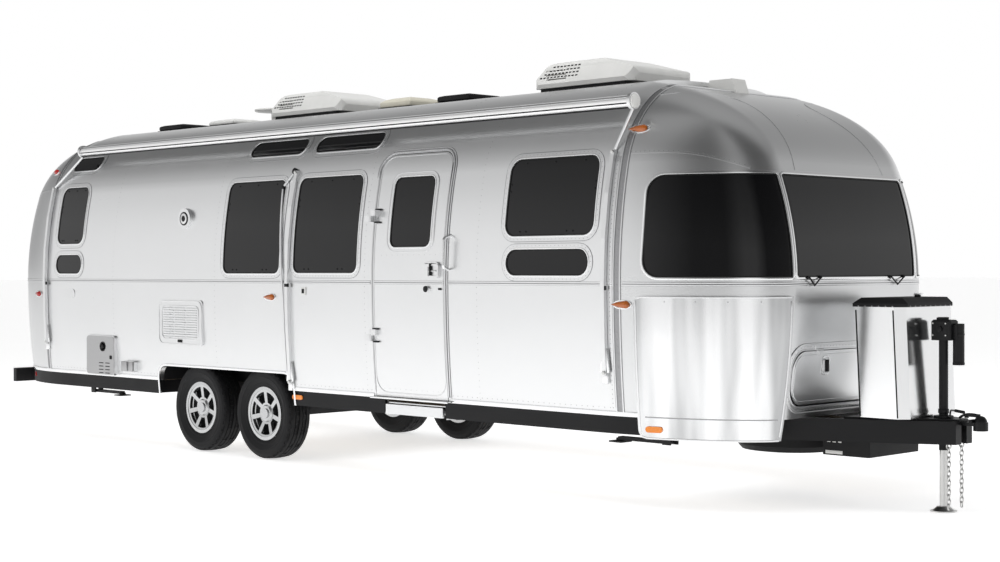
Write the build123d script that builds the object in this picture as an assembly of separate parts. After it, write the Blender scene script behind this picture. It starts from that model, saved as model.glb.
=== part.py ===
from build123d import *
from math import acos, asin, atan2, cos, degrees, hypot, pi, radians, sin, sqrt, tan
import os

# Twin-axle riveted-aluminium travel caravan, parked on its tongue jack.
# Millimetres. +X runs forward to the hitch, +Y to the street side, -Y to the curb side, which
# has the door, and +Z up. The origin is on the ground under the middle of the whole outline.

# Body shell
BODY_FRONT = 4130.0
BODY_REAR = -5030.0
HALF_WIDTH = 1290.0
BELT_Z = 1458.0
RAIL_Z = 586.0
WALL = 45.0
LOWER_SIDE_RADIUS = 9500.0
UPPER_SIDE_RADIUS = 3717.0
SHOULDER_START_Z = 2250.0
SHOULDER_RADIUS = 772.0
CROWN_RADIUS = 9000.0
CORNER_LENGTH = 1209.0
CORNER_WIDTH = 633.0
END_SEAM = 1000.0
ROOF_SEAM_Z = 2640.0
SEAT = 0.3
SWING_GAP = 5.0

# Floor and chassis
FLOOR_THICKNESS = 40.0
FRAME_DEPTH = 146.0
TONGUE_PLATE = 12.0
SPARE_LOW = 315.0
RAIL_Y = 760.0
RAIL_WIDTH = 60.0
CROSS_WIDTH = 50.0
BEAM_WALL = 6.0
PAN_THICKNESS = 6.0
TONGUE_TIP_X = 4912.0
TONGUE_HALF_ANGLE = 26.0
TONGUE_TIP_Y = 32.0
SKIRT_BOTTOM = 470.0
SKIRT_THICKNESS = 6.0
SKIRT_INSET = 10.0

# Running gear
AXLE_XS = {"rear": -1670.0, "front": -781.0}
TYRE_RADIUS = 372.0
TYRE_WIDTH = 223.0
TREAD_SHARE = 0.6
RIM_RADIUS = 203.0
RIM_LIP_RADIUS = 219.0
RIM_WIDTH = 178.0
WHEEL_Y = 1087.0
SPOKES = 7
LUGS = 6
SPINDLE_RADIUS = 22.0
AXLE_TUBE = 84.0
TORSION_ARM = 150.0
ARCH_REAR_X = -2177.0
ARCH_FRONT_X = -288.0
ARCH_TOP_Z = 721.0
ARCH_RADIUS = 110.0
WELL_TOP_Z = 850.0
WELL_INNER_Y = 925.0
WELL_WALL = 12.0

# Openings in the shell, seen from outside
DOOR_REAR_X = 707.0
DOOR_FRONT_X = 1500.0
DOOR_TOP_Z = 2410.0
DOOR_RADIUS = 130.0
DOOR_GAP = 5.0
GLASS_THICKNESS = 8.0
GLASS_RECESS = 1.0
# columns: name, rear x, front x, low z, high z, corner radius
CURB_WINDOWS = [
    ("bedroom", -3830.0, -3386.0, 1790.0, 2315.0, 80.0),
    ("bedroom_low", -3830.0, -3391.0, 1515.0, 1687.0, 80.0),
    ("dinette", -1185.0, -430.0, 1518.0, 2268.0, 65.0),
    ("galley", -250.0, 525.0, 1522.0, 2272.0, 65.0),
    ("lounge", 2100.0, 2925.0, 1776.0, 2310.0, 85.0),
    ("lounge_low", 2122.0, 2887.0, 1506.0, 1684.0, 85.0),
]
STREET_WINDOWS = [
    ("bedroom", -3830.0, -3386.0, 1790.0, 2315.0, 80.0),
    ("bath", -2350.0, -1950.0, 1790.0, 2268.0, 65.0),
    ("galley", -250.0, 525.0, 1522.0, 2272.0, 65.0),
    ("lounge", 2100.0, 2925.0, 1776.0, 2310.0, 85.0),
    ("lounge_low", 2122.0, 2887.0, 1506.0, 1684.0, 85.0),
]
VISTA_WINDOWS = [
    ("vista_rear", -3815.0, -3363.0, 2475.0, 2600.0, 58.0),
    ("vista_middle", -1050.0, -330.0, 2475.0, 2600.0, 58.0),
    ("vista_front", -195.0, 600.0, 2475.0, 2600.0, 58.0),
]
DOOR_WINDOW = ("door", 897.0, 1338.0, 1713.0, 2233.0, 60.0)
END_WINDOW_LOW = 1494.0
END_WINDOW_HIGH = 2155.0
FRONT_WINDOW_HALF = 690.0
PILLAR = 35.0
CORNER_WINDOW_REAR = 3325.0
CORNER_WINDOW_RADIUS = 110.0
REAR_WINDOW_HALF = 560.0
FRAME_WIDTH = 38.0
FRAME_PROUD = 3.0

# Grab handle beside the door
GRAB_HANDLE_X = 1548.0

# Front hatch, rock guards
HATCH_HALF = 700.0
HATCH_LOW = 664.0
HATCH_HIGH = 1022.0
HATCH_RADIUS = 120.0
HATCH_AXIS_X = 4122.0
HATCH_AXIS_Z = 1026.0
HATCH_PANEL_RADIUS = 135.0
LATCH_REAR_Y, LATCH_FRONT_Y = -356.0, -318.0
LATCH_LOW, LATCH_HIGH = 880.0, 960.0
HATCH_HINGE_Y = 430.0
HINGE_LEAF = 40.0
HINGE_PIN = 7.0
HINGE_GAP = 0.25
GUARD_STANDOFF = 26.0
GUARD_SHEET = 3.0
GUARD_REAR_X = 3277.0
GUARD_HALF_GAP = 745.0
GUARD_TOP = 1375.0
GUARD_LOW = 452.0

# Tongue furniture
JACK_X = 4767.0
JACK_OUTER_RADIUS = 29.0
JACK_INNER_RADIUS = 25.0
JACK_TUBE_LOW = 392.0
JACK_HEAD_LOW = 1092.0
JACK_HEAD_TOP = 1238.0
JACK_FOOT_RADIUS = 85.0
COVER_REAR_X = 4325.0
COVER_LENGTH = 335.0
COVER_HALF_WIDTH = 325.0
COVER_LEAN = 34.0
COVER_HIGH = 1304.0
COVER_SHEET = 3.0
COVER_CHAMFER = 55.0
LID_OVERHANG = 14.0
LID_HEIGHT = 58.0
LID_AXIS_Z = 1302.0
BOTTLE_RADIUS = 150.0
BOTTLE_HEIGHT = 560.0
BALL_SOCKET_X = 5028.0
BALL_SOCKET_RADIUS = 29.6
COUPLER_TOP = 634.0
COUPLER_LOW = 530.0

# Roof furniture
# columns: rear x, front x
AIR_CONDITIONERS = [(1475.0, 2475.0), (-1795.0, -795.0)]
AC_HALF_WIDTH = 360.0
AC_BASE_TOP_Z = 2906.0
AC_TOP_Z = 3112.0
# columns: centre x, half size, lid height
ROOF_VENTS = [(-3560.0, 190.0, 46.0), (-2730.0, 200.0, 60.0), (-270.0, 190.0, 62.0), (440.0, 190.0, 46.0)]
ROLLER_Y = 1150.0
ROLLER_Z = 2650.0
ROLLER_RADIUS = 43.0
ROLLER_REAR_X = -3560.0
ROLLER_FRONT_X = 3150.0
ARM_WIDTH = 34.0
ARM_DEPTH = 30.0

# Rear end and side fittings
BUMPER_REAR_X = -5092.0
BUMPER_DEPTH = 100.0
BUMPER_LOW = 440.0
BUMPER_HIGH = 570.0
BUMPER_HALF = 1060.0
STEP_REAR_X = 800.0
STEP_FRONT_X = 1440.0
STEP_TRAVEL = 240.0
AMBER_LAMPS = ((3210.0, 2470.0), (3205.0, 1318.0), (-520.0, 1328.0))
RED_LAMPS = ((-4175.0, 1322.0), (-4160.0, 2487.0))
STOP_LAMP_INNER, STOP_LAMP_OUTER = 690.0, 800.0
STOP_LAMP_LOW, STOP_LAMP_HIGH = 900.0, 1160.0
LAMP_LENGTH = 118.0
LAMP_RADIUS = 26.0
LAMP_SINK = 6.0

parts = {}


def span(x0, x1, y0, y1, z0, z1):
    """A block between two corners."""
    size = (x1 - x0, y1 - y0, z1 - z0)
    return Pos((x0 + x1) / 2, (y0 + y1) / 2, (z0 + z1) / 2) * Box(*size)


def rod(start, end, radius, inner=0.0):
    """A round bar, or a tube when inner is given, between two points."""
    axis = Vector(*end) - Vector(*start)
    plane = Plane(origin=start, z_dir=axis)
    section = Circle(radius) - Circle(inner) if inner else Circle(radius)
    return extrude(plane * section, axis.length)


def both_sides(solid):
    """A solid and its mirror image across the centre plane."""
    return [solid, mirror(solid, about=Plane.XZ)]


# Body form: the side profile gives the half width at each height. The ends use the same profile,
# stretched along X, and each plan corner is a quarter turn of it, stretched the same way.
shoulder_angle = asin((SHOULDER_START_Z - BELT_Z) / UPPER_SIDE_RADIUS)
side_centre_y = HALF_WIDTH - UPPER_SIDE_RADIUS
shoulder_y = side_centre_y + (UPPER_SIDE_RADIUS - SHOULDER_RADIUS) * cos(shoulder_angle)
shoulder_z = BELT_Z + (UPPER_SIDE_RADIUS - SHOULDER_RADIUS) * sin(shoulder_angle)
crown_centre_z = shoulder_z - sqrt((CROWN_RADIUS - SHOULDER_RADIUS) ** 2 - shoulder_y ** 2)
crown_angle = atan2(shoulder_z - crown_centre_z, shoulder_y)
CROWN_Z = crown_centre_z + CROWN_RADIUS
lower_centre_y = HALF_WIDTH - LOWER_SIDE_RADIUS
CORNER_STRETCH = CORNER_LENGTH / CORNER_WIDTH


def side_y(z, inset=0.0):
    """Half width of the form at a height."""
    if z < BELT_Z:
        return lower_centre_y + sqrt((LOWER_SIDE_RADIUS - inset) ** 2 - (BELT_Z - z) ** 2)
    join = shoulder_z + (SHOULDER_RADIUS - inset) * sin(crown_angle)
    if z < BELT_Z + (UPPER_SIDE_RADIUS - inset) * sin(shoulder_angle):
        return side_centre_y + sqrt((UPPER_SIDE_RADIUS - inset) ** 2 - (z - BELT_Z) ** 2)
    if z < join:
        return shoulder_y + sqrt((SHOULDER_RADIUS - inset) ** 2 - (z - shoulder_z) ** 2)
    return sqrt(max((CROWN_RADIUS - inset) ** 2 - (z - crown_centre_z) ** 2, 0.0))


def skin_y(x, z):
    """Half width of the form at a place along its side, also where the plan corners curve in."""
    axis_y = HALF_WIDTH - CORNER_WIDTH
    over = max(x - (BODY_FRONT - CORNER_LENGTH), BODY_REAR + CORNER_LENGTH - x, 0.0) / CORNER_STRETCH
    return axis_y + sqrt((side_y(z) - axis_y) ** 2 - over ** 2)


def on_arc(centre_y, centre_z, radius, angle):
    return (centre_y + radius * cos(angle), centre_z + radius * sin(angle))


def profile_edges(inset, low, stop_y):
    """The half profile as edges from its foot up to the distance stop_y from the centre."""
    foot_angle = -asin((BELT_Z - low) / (LOWER_SIDE_RADIUS - inset))
    lower = LOWER_SIDE_RADIUS - inset
    upper = UPPER_SIDE_RADIUS - inset
    shoulder = SHOULDER_RADIUS - inset
    crown = CROWN_RADIUS - inset
    belt = (HALF_WIDTH - inset, BELT_Z)
    edges = [ThreePointArc(
        on_arc(lower_centre_y, BELT_Z, lower, foot_angle),
        on_arc(lower_centre_y, BELT_Z, lower, foot_angle / 2),
        belt,
    )]
    turn = on_arc(side_centre_y, BELT_Z, upper, shoulder_angle)
    edges.append(ThreePointArc(belt, on_arc(side_centre_y, BELT_Z, upper, shoulder_angle / 2), turn))
    last = min(crown_angle, acos(max(min((stop_y - shoulder_y) / shoulder, 1.0), -1.0)))
    end = on_arc(shoulder_y, shoulder_z, shoulder, last)
    middle = on_arc(shoulder_y, shoulder_z, shoulder, (shoulder_angle + last) / 2)
    edges.append(ThreePointArc(turn, middle, end))
    if last == crown_angle:
        stop = acos(stop_y / crown)
        end_two = on_arc(0.0, crown_centre_z, crown, stop)
        middle = on_arc(0.0, crown_centre_z, crown, (crown_angle + stop) / 2)
        edges.append(ThreePointArc(end, middle, end_two))
        end = end_two
    return edges, end


def profile_face(inset, low, axis_y, top=None):
    """The profile closed back to a vertical line at axis_y, in its own (y, z) plane."""
    edges, end = profile_edges(inset, low, axis_y)
    foot = edges[0] @ 0
    cap = []
    if top is not None:
        cap = [Line(end, (end[0], top))]
        end = (end[0], top)
    edges = edges + cap + [Line(end, (axis_y, low)), Line((axis_y, low), (foot.X, foot.Y))]
    return make_face(edges)


def body_form(inset, low=RAIL_Z):
    """The solid body shape, moved inwards by inset, down to the height low."""
    front = BODY_FRONT - inset
    rear = BODY_REAR + inset
    half = HALF_WIDTH - inset
    corner_y = CORNER_WIDTH - inset
    stretch = (CORNER_LENGTH - inset) / corner_y
    axis_y = HALF_WIDTH - CORNER_WIDTH
    front_axis = BODY_FRONT - CORNER_LENGTH
    rear_axis = BODY_REAR + CORNER_LENGTH
    half_face = profile_face(inset, low, 0.0)
    # (y, z) of the profile is laid on the YZ plane and drawn out along X
    half_body = extrude(Plane.YZ * half_face, front - rear)
    section = Pos(rear, 0, 0) * half_body
    length = section + mirror(section, about=Plane.XZ)
    corner_face = profile_face(inset, low, axis_y)
    end_slope = extrude(Plane.XZ * Pos(-axis_y, 0, 0) * corner_face, half, both=True)
    end_slope = scale(end_slope, by=(stretch, 1, 1))
    corner = revolve(Plane.XZ * Pos(-axis_y, 0, 0) * corner_face, Axis.Z, 90)
    corner = scale(corner, by=(stretch, 1, 1))
    middle = length & span(rear_axis, front_axis, -2 * half, 2 * half, low - 1, CROWN_Z + 1)
    front_band = length & (Pos(front_axis, 0, 0) * end_slope)
    front_band = front_band & span(front_axis, 2 * front, -axis_y, axis_y, low - 1, CROWN_Z + 1)
    rear_band = length & (Pos(rear_axis, 0, 0) * mirror(end_slope, about=Plane.YZ))
    rear_band = rear_band & span(2 * rear, rear_axis, -axis_y, axis_y, low - 1, CROWN_Z + 1)
    front_left = Pos(front_axis, axis_y, 0) * corner
    front_right = mirror(front_left, about=Plane.XZ)
    rear_left = Pos(rear_axis, axis_y, 0) * mirror(corner, about=Plane.YZ)
    rear_right = mirror(rear_left, about=Plane.XZ)
    return middle + front_band + rear_band + front_left + front_right + rear_left + rear_right


def on_skin(solid):
    """A piece that starts inside the wall, trimmed so that it seats on the skin."""
    return solid - seat_form


def slab(x0, x1, z0, z1, radius, y0, y1):
    """A rounded rectangle in the side view, drawn from y0 to y1."""
    outline = RectangleRounded(x1 - x0, z1 - z0, radius)
    block = extrude(Plane.XZ * outline, abs(y1 - y0))
    return Pos((x0 + x1) / 2, max(y0, y1), (z0 + z1) / 2) * block


def end_slab(y0, y1, z0, z1, radius, x0, x1):
    """A rounded rectangle in the front view, drawn from x0 to x1."""
    outline = RectangleRounded(y1 - y0, z1 - z0, radius)
    block = extrude(Plane.YZ * outline, x1 - x0)
    return Pos(x0, (y0 + y1) / 2, (z0 + z1) / 2) * block


OUTSIDE = HALF_WIDTH + 60.0
INSIDE = 880.0
FRONT_SEAM_X = BODY_FRONT - END_SEAM
REAR_SEAM_X = BODY_REAR + END_SEAM
FLOOR_TOP = RAIL_Z + FLOOR_THICKNESS
FRAME_LOW = RAIL_Z - FRAME_DEPTH
COVER_LOW = RAIL_Z + TONGUE_PLATE + SEAT
HINGE_X = DOOR_REAR_X - 7.0
HINGE_Y = -(HALF_WIDTH + 12.0)
DOOR_SILL = 594.0
DOOR_LOW = DOOR_SILL + 6.0

outer_form = body_form(0.0)
inner_form = body_form(WALL)
seat_form = body_form(-SEAT, GUARD_LOW)
shell = outer_form - inner_form


def window_cut(row, side, grow=0.0):
    """The cutter of one side window, on side -1 (curb) or 1 (street)."""
    name, x0, x1, z0, z1, radius = row
    y0, y1 = sorted((side * INSIDE, side * OUTSIDE))
    return slab(x0 - grow, x1 + grow, z0 - grow, z1 + grow, radius + grow, y0, y1)


def corner_window_cut(side, grow=0.0):
    """The cutter of one wrap-round front corner window."""
    y_in = side * (FRONT_WINDOW_HALF + PILLAR - grow)
    y0, y1 = sorted((y_in, side * OUTSIDE))
    far = BODY_FRONT + 400.0
    low, high = END_WINDOW_LOW - grow, END_WINDOW_HIGH + grow
    return slab(CORNER_WINDOW_REAR - grow, far, low, high, CORNER_WINDOW_RADIUS + grow, y0, y1)


def front_window_cut(grow=0.0):
    half = FRONT_WINDOW_HALF + grow
    low, high = END_WINDOW_LOW - grow, END_WINDOW_HIGH + grow
    return end_slab(-half, half, low, high, 12.0 + grow, BODY_FRONT - 400.0, BODY_FRONT + 60.0)


def rear_window_cut(grow=0.0):
    half = REAR_WINDOW_HALF + grow
    low, high = END_WINDOW_LOW - grow, END_WINDOW_HIGH + grow
    return end_slab(-half, half, low, high, 90.0 + grow, BODY_REAR - 60.0, BODY_REAR + 400.0)


def hatch_cut(shrink=0.0, radius=HATCH_RADIUS):
    half = HATCH_HALF - shrink
    low, high = HATCH_LOW + shrink, HATCH_HIGH - shrink
    return end_slab(-half, half, low, high, radius, BODY_FRONT - 300.0, BODY_FRONT + 60.0)


def door_cut(shrink=0.0):
    x0, x1 = DOOR_REAR_X + shrink, DOOR_FRONT_X - shrink
    top = DOOR_TOP_Z - shrink
    low = DOOR_LOW if shrink else DOOR_SILL
    radius = DOOR_RADIUS - shrink
    block = slab(x0, x1, low - 2 * radius, top, radius, -OUTSIDE, -INSIDE)
    return block & span(x0 - 1, x1 + 1, -OUTSIDE, -INSIDE, low, top + 1)


def arch_cut():
    """The wheel opening in one side of the body, curb side."""
    block = slab(ARCH_REAR_X, ARCH_FRONT_X, RAIL_Z - 300.0, ARCH_TOP_Z, ARCH_RADIUS, -OUTSIDE, -INSIDE)
    return block


def shell_panels():
    """The shell split at its real seams, with the windows, doors and wheel openings cut."""
    far = 6000.0
    high = CROWN_Z + 100.0
    curb = shell & span(REAR_SEAM_X, FRONT_SEAM_X, -far, 0, 0, ROOF_SEAM_Z)
    street = mirror(curb, about=Plane.XZ)
    arch = arch_cut()
    curb = curb - arch - door_cut()
    street = street - mirror(arch, about=Plane.XZ)
    for row in CURB_WINDOWS + VISTA_WINDOWS:
        curb = curb - window_cut(row, -1)
    for row in STREET_WINDOWS + VISTA_WINDOWS:
        street = street - window_cut(row, 1)
    roof = shell & span(REAR_SEAM_X, FRONT_SEAM_X, -far, far, ROOF_SEAM_Z, high)
    front = shell & span(FRONT_SEAM_X, far, -far, far, 0, high)
    front = front - front_window_cut() - hatch_cut()
    front = front - corner_window_cut(-1) - corner_window_cut(1)
    rear = (shell & span(-far, REAR_SEAM_X, -far, far, 0, high)) - rear_window_cut()
    parts["wall_curbside"] = [curb]
    parts["wall_streetside"] = [street]
    parts["roof"] = [roof]
    parts["front_end"] = [front]
    parts["rear_end"] = [rear]


def glazing():
    """Dark panes, set just inside the skin in each opening."""
    pane_form = body_form(GLASS_RECESS) - body_form(GLASS_RECESS + GLASS_THICKNESS)
    curb = [pane_form & window_cut(row, -1, -SEAT) for row in CURB_WINDOWS + VISTA_WINDOWS]
    street = [pane_form & window_cut(row, 1, -SEAT) for row in STREET_WINDOWS + VISTA_WINDOWS]
    front = [pane_form & front_window_cut(-SEAT)]
    front += [pane_form & corner_window_cut(side, -SEAT) for side in (-1, 1)]
    parts["side_windows"] = curb + street
    parts["end_windows"] = front + [pane_form & rear_window_cut(-SEAT)]
    parts["door_window"] = [pane_form & window_cut(DOOR_WINDOW, -1, -SEAT)]


def rear_profile(inset, low, high):
    """The line of the rear end in the side view, between two heights."""
    axis_y = HALF_WIDTH - CORNER_WIDTH
    stretch = (CORNER_LENGTH - inset) / (CORNER_WIDTH - inset)
    steps = 8
    points = []
    for k in range(steps + 1):
        z = low + (high - low) * k / steps
        points.append((BODY_REAR + CORNER_LENGTH - stretch * (side_y(z, inset) - axis_y), z))
    return Spline(*points)


def window_trims():
    """Raised riveted frames round the openings in the sides."""
    frame_form = body_form(-FRAME_PROUD) - seat_form
    frames = []
    # columns: window rows that share one frame, side
    groups = [
        (CURB_WINDOWS[0:2], -1), (CURB_WINDOWS[2:3], -1),
        (CURB_WINDOWS[3:4], -1), (CURB_WINDOWS[4:6], -1),
        (STREET_WINDOWS[0:1], 1), (STREET_WINDOWS[1:2], 1),
        (STREET_WINDOWS[2:3], 1), (STREET_WINDOWS[3:5], 1),
    ]
    groups += [([row], side) for row in VISTA_WINDOWS for side in (-1, 1)]
    for rows, side in groups:
        frame = window_cut(rows[0], side, FRAME_WIDTH)
        for row in rows[1:]:
            frame = frame + window_cut(row, side, FRAME_WIDTH)
        for row in rows:
            frame = frame - window_cut(row, side)
        frames.append(frame_form & frame)
    low, high = END_WINDOW_LOW - FRAME_WIDTH - 1, END_WINDOW_HIGH + FRAME_WIDTH + 1
    outline = [rear_profile(-FRAME_PROUD, low, high), rear_profile(-SEAT, low, high)]
    outline += [Line(outline[0] @ end, outline[1] @ end) for end in (0, 1)]
    half = REAR_WINDOW_HALF + FRAME_WIDTH + 1
    strip = extrude(Plane.XZ * make_face(outline), half, both=True)
    frames.append((strip & rear_window_cut(FRAME_WIDTH)) - rear_window_cut())
    parts["window_frames"] = frames
    door_frame = frame_form & (window_cut(DOOR_WINDOW, -1, FRAME_WIDTH) - window_cut(DOOR_WINDOW, -1))
    parts["door_trim"] = [door_frame]


def entry_door():
    """The door as thick as the wall, its free edge curved to swing past the jamb."""
    reach = DOOR_FRONT_X - DOOR_GAP - HINGE_X
    swing = Pos(HINGE_X, HINGE_Y, 1500) * Cylinder(reach, 3000)
    door = shell & door_cut(DOOR_GAP)
    door = (door & swing) - window_cut(DOOR_WINDOW, -1)
    parts["entry_door"] = [door]
    lock = on_skin(slab(1291, 1453, 1486, 1588, 14, -1200, -HALF_WIDTH - 22))
    lock -= slab(1345, 1440, 1500, 1574, 10, -HALF_WIDTH - 14, -HALF_WIDTH - 40)
    handle = rod((1352, -HALF_WIDTH - 19, 1537), (1433, -HALF_WIDTH - 19, 1537), 6)
    dead = on_skin(Pos(1314, -1275, 1406) * Rot(90, 0, 0) * Cylinder(24, 60))
    parts["door_handle"] = [lock + handle, dead]


def hinge_set():
    """Two block hinges. The lower half is on the wall, the upper half on the door."""
    fixed = []
    moving = []
    height = 44.0
    for z in (1056.0, 1950.0):
        for low, high, x0, x1, leaves in (
            (z - height, z - 0.25, HINGE_X - 60, HINGE_X, fixed),
            (z + 0.25, z + height, HINGE_X, HINGE_X + 60, moving),
        ):
            block = span(x0, x1, HINGE_Y - 8, -1150, low, high)
            knuckle = Pos(HINGE_X, HINGE_Y, (low + high) / 2) * Cylinder(11, high - low)
            if leaves is fixed:
                block &= span(x0, DOOR_REAR_X - 5, -2000, 0, low, high)
            else:
                block &= span(HINGE_X, x1, -2000, 0, low, high)
            leaf = on_skin(block + knuckle)
            leaves.append(leaf)
    return fixed, moving


def nose_x(z):
    """Where the front of the body lies at a height."""
    return BODY_FRONT - CORNER_STRETCH * (HALF_WIDTH - side_y(z))


def front_hatch():
    """The front storage hatch, hinged along its top edge, with its hinges and latch."""
    x, z = HATCH_AXIS_X, HATCH_AXIS_Z
    swing = rod((x, -HATCH_HALF, z), (x, HATCH_HALF, z), z - HATCH_LOW - SWING_GAP)
    panel = shell & hatch_cut(SWING_GAP, HATCH_PANEL_RADIUS) & swing
    depth = (BODY_FRONT - 90, BODY_FRONT - 12)
    latch = on_skin(end_slab(LATCH_REAR_Y, LATCH_FRONT_Y, LATCH_LOW, LATCH_HIGH, 8, *depth))
    fixed = []
    leaves = []
    for y in (-HATCH_HINGE_Y, HATCH_HINGE_Y):
        y0, y1, y2, y3 = y - HINGE_LEAF, y - HINGE_GAP, y + HINGE_GAP, y + HINGE_LEAF
        upper = rod((x, y0, z), (x, y1, z), HINGE_PIN) + span(x - 60, x, y0, y1, z + 2, z + 30)
        fixed.append(on_skin(upper))
        lower = rod((x, y2, z), (x, y3, z), HINGE_PIN) + span(x - 60, x, y2, y3, z - 34, z - 2)
        leaves.append(on_skin(lower))
    parts["front_hatch"] = [panel]
    parts["hatch_fittings"] = [latch] + leaves
    parts["fixed_hinges"] = fixed


def flat_ring(inset_out, inset_in, low, high):
    """A closed strip that follows the body's outline at the rail, between two heights."""
    return plan_block(inset_out, low, high) - plan_block(inset_in, low - 1, high + 1)


def plan_block(inset, low, high):
    """The body's outline at the rail, moved inwards and drawn up between two heights."""
    half = side_y(RAIL_Z, inset)
    axis_y = HALF_WIDTH - CORNER_WIDTH
    width = half - axis_y
    length = width * (CORNER_LENGTH - inset) / (CORNER_WIDTH - inset)
    front_axis = BODY_FRONT - CORNER_LENGTH
    rear_axis = BODY_REAR + CORNER_LENGTH
    front_x, rear_x = front_axis + length, rear_axis - length
    edges = [
        Line((rear_x, 0), (rear_x, axis_y)),
        EllipticalCenterArc((rear_axis, axis_y), length, width, 90, arc_size=90),
        Line((rear_axis, half), (front_axis, half)),
        EllipticalCenterArc((front_axis, axis_y), length, width, 0, arc_size=90),
        Line((front_x, axis_y), (front_x, 0)),
        Line((front_x, 0), (rear_x, 0)),
    ]
    block = extrude(Pos(0, 0, low) * make_face(edges), high - low)
    return block + mirror(block, about=Plane.XZ)


def floor_plate():
    """The floor, cut round the wheel wells and back from the door."""
    floor = plan_block(WALL + SEAT, RAIL_Z, FLOOR_TOP)
    x0, x1 = ARCH_REAR_X - WELL_WALL - SEAT, ARCH_FRONT_X + WELL_WALL + SEAT
    for y0, y1 in ((-1400, -WELL_INNER_Y + WELL_WALL), (WELL_INNER_Y - WELL_WALL, 1400)):
        floor -= span(x0, x1, y0, y1, RAIL_Z - 1, FLOOR_TOP + 1)
    door_inner = side_y(DOOR_SILL, WALL) - SWING_GAP - 1
    floor -= span(DOOR_REAR_X, DOOR_FRONT_X, -1400, -door_inner, DOOR_SILL, FLOOR_TOP + 1)
    parts["floor"] = [floor]


def wheel_wells():
    """The boxes over the wheels inside the cabin, open below and to the outside."""
    wells = []
    x0, x1 = ARCH_REAR_X, ARCH_FRONT_X
    wall = WELL_WALL
    well = span(x0 - wall, x1 + wall, -1230, -WELL_INNER_Y + wall, RAIL_Z + 2, WELL_TOP_Z + wall)
    well -= span(x0, x1, -1400, -WELL_INNER_Y, RAIL_Z, WELL_TOP_Z)
    parts["wheel_wells"] = both_sides(well & body_form(WALL + SEAT))


def chassis():
    """Channel rails, cross members with outriggers, and the A-shaped tongue."""
    top, low = RAIL_Z, FRAME_LOW
    y0, y1 = RAIL_Y - RAIL_WIDTH / 2, RAIL_Y + RAIL_WIDTH / 2
    rear_x, front_x = BODY_REAR + 140, BODY_FRONT - 800
    rail = span(rear_x, front_x, y0, y1, low, top)
    rail -= span(rear_x - 1, front_x + 1, y0 - 1, y1 - BEAM_WALL, low + BEAM_WALL, top - BEAM_WALL)
    parts["chassis_rails"] = both_sides(rail)
    web = y1 - BEAM_WALL - SEAT
    bars = []
    for x in (rear_x + 2, -3900.0, -2900.0, -2190.0, -1200.0, -330.0, 640.0, 1560.0, 2500.0, 3130.0):
        bars.append(span(x, x + CROSS_WIDTH, -web, web, low + 30, top - BEAM_WALL - SEAT))
    skirt_in = side_y(RAIL_Z, SKIRT_INSET + SKIRT_THICKNESS)
    for x in (-3800.0, -3400.0, -2750.0, -2240.0, -250.0, 660.0, 1510.0, 2200.0, 2860.0):
        bars += both_sides(span(x, x + CROSS_WIDTH, y1 + SEAT, skirt_in - SEAT, SKIRT_BOTTOM + 4, top - SEAT))
    parts["cross_members"] = bars
    # the tongue's rails run from the ends of the main rails to the tip
    half_angle = radians(TONGUE_HALF_ANGLE)
    slope = tan(half_angle)
    w = RAIL_WIDTH / cos(half_angle)
    back_x = front_x + SEAT
    tip_y = TONGUE_TIP_Y
    tongue_rail = Polyline(
        (TONGUE_TIP_X, tip_y), (TONGUE_TIP_X, tip_y + w),
        (back_x, tip_y + w + (TONGUE_TIP_X - back_x) * slope),
        (back_x, tip_y + (TONGUE_TIP_X - back_x) * slope), close=True,
    )
    beam = extrude(Pos(0, 0, low) * make_face(tongue_rail), top - SEAT - low)
    beam &= span(back_x, TONGUE_TIP_X, 0, y1, low - 1, top)
    tongue = beam + mirror(beam, about=Plane.XZ)
    tongue += span(back_x, back_x + CROSS_WIDTH, -y1, y1, top - 40, top - SEAT)
    # a plate and a bar across the tongue carry the jack and the gas cover
    bar_x = COVER_REAR_X - 60
    bar_y = tip_y + (TONGUE_TIP_X - bar_x) * slope
    plate = Polyline(
        (TONGUE_TIP_X - 1, -tip_y - 20), (TONGUE_TIP_X - 1, tip_y + 20),
        (bar_x, bar_y + 20), (bar_x, -bar_y - 20), close=True,
    )
    plate = extrude(Pos(0, 0, top - 1) * make_face(plate), TONGUE_PLATE + 1)
    plate -= Pos(JACK_X, 0, top) * Cylinder(JACK_OUTER_RADIUS + SEAT, 60)
    tongue += plate
    tongue += span(bar_x, bar_x + CROSS_WIDTH, -bar_y, bar_y, low + 20, top)
    parts["tongue_frame"] = [tongue]


def belly_pans():
    """Aluminium pans under the frame, ahead of the axles and behind them."""
    low = FRAME_LOW - PAN_THICKNESS
    pans = [
        span(BODY_REAR + 160, -2100, -RAIL_Y, RAIL_Y, low, FRAME_LOW),
        span(-380, BODY_FRONT - 1010, -RAIL_Y, RAIL_Y, low, FRAME_LOW),
    ]
    parts["belly_pans"] = pans


def skirts():
    """Black skirts under both sides, cut for the wheels and the step."""
    strip = flat_ring(SKIRT_INSET, SKIRT_INSET + SKIRT_THICKNESS, SKIRT_BOTTOM, RAIL_Z)
    pieces = []
    for side in (-1, 1):
        y0, y1 = sorted((side * 700.0, side * 1400.0))
        for x0, x1 in ((BODY_REAR + 260, ARCH_REAR_X - 14), (ARCH_FRONT_X + 14, GUARD_REAR_X - 6)):
            piece = strip & span(x0, x1, y0, y1, SKIRT_BOTTOM - 1, RAIL_Z + 1)
            if side < 0 and x1 > 0:
                recess = span(STEP_REAR_X - 12, STEP_FRONT_X + 12, y0, y1, SKIRT_BOTTOM - 1, RAIL_Z + 1)
                piece -= recess
            pieces.append(piece)
    parts["side_skirts"] = pieces


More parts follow.
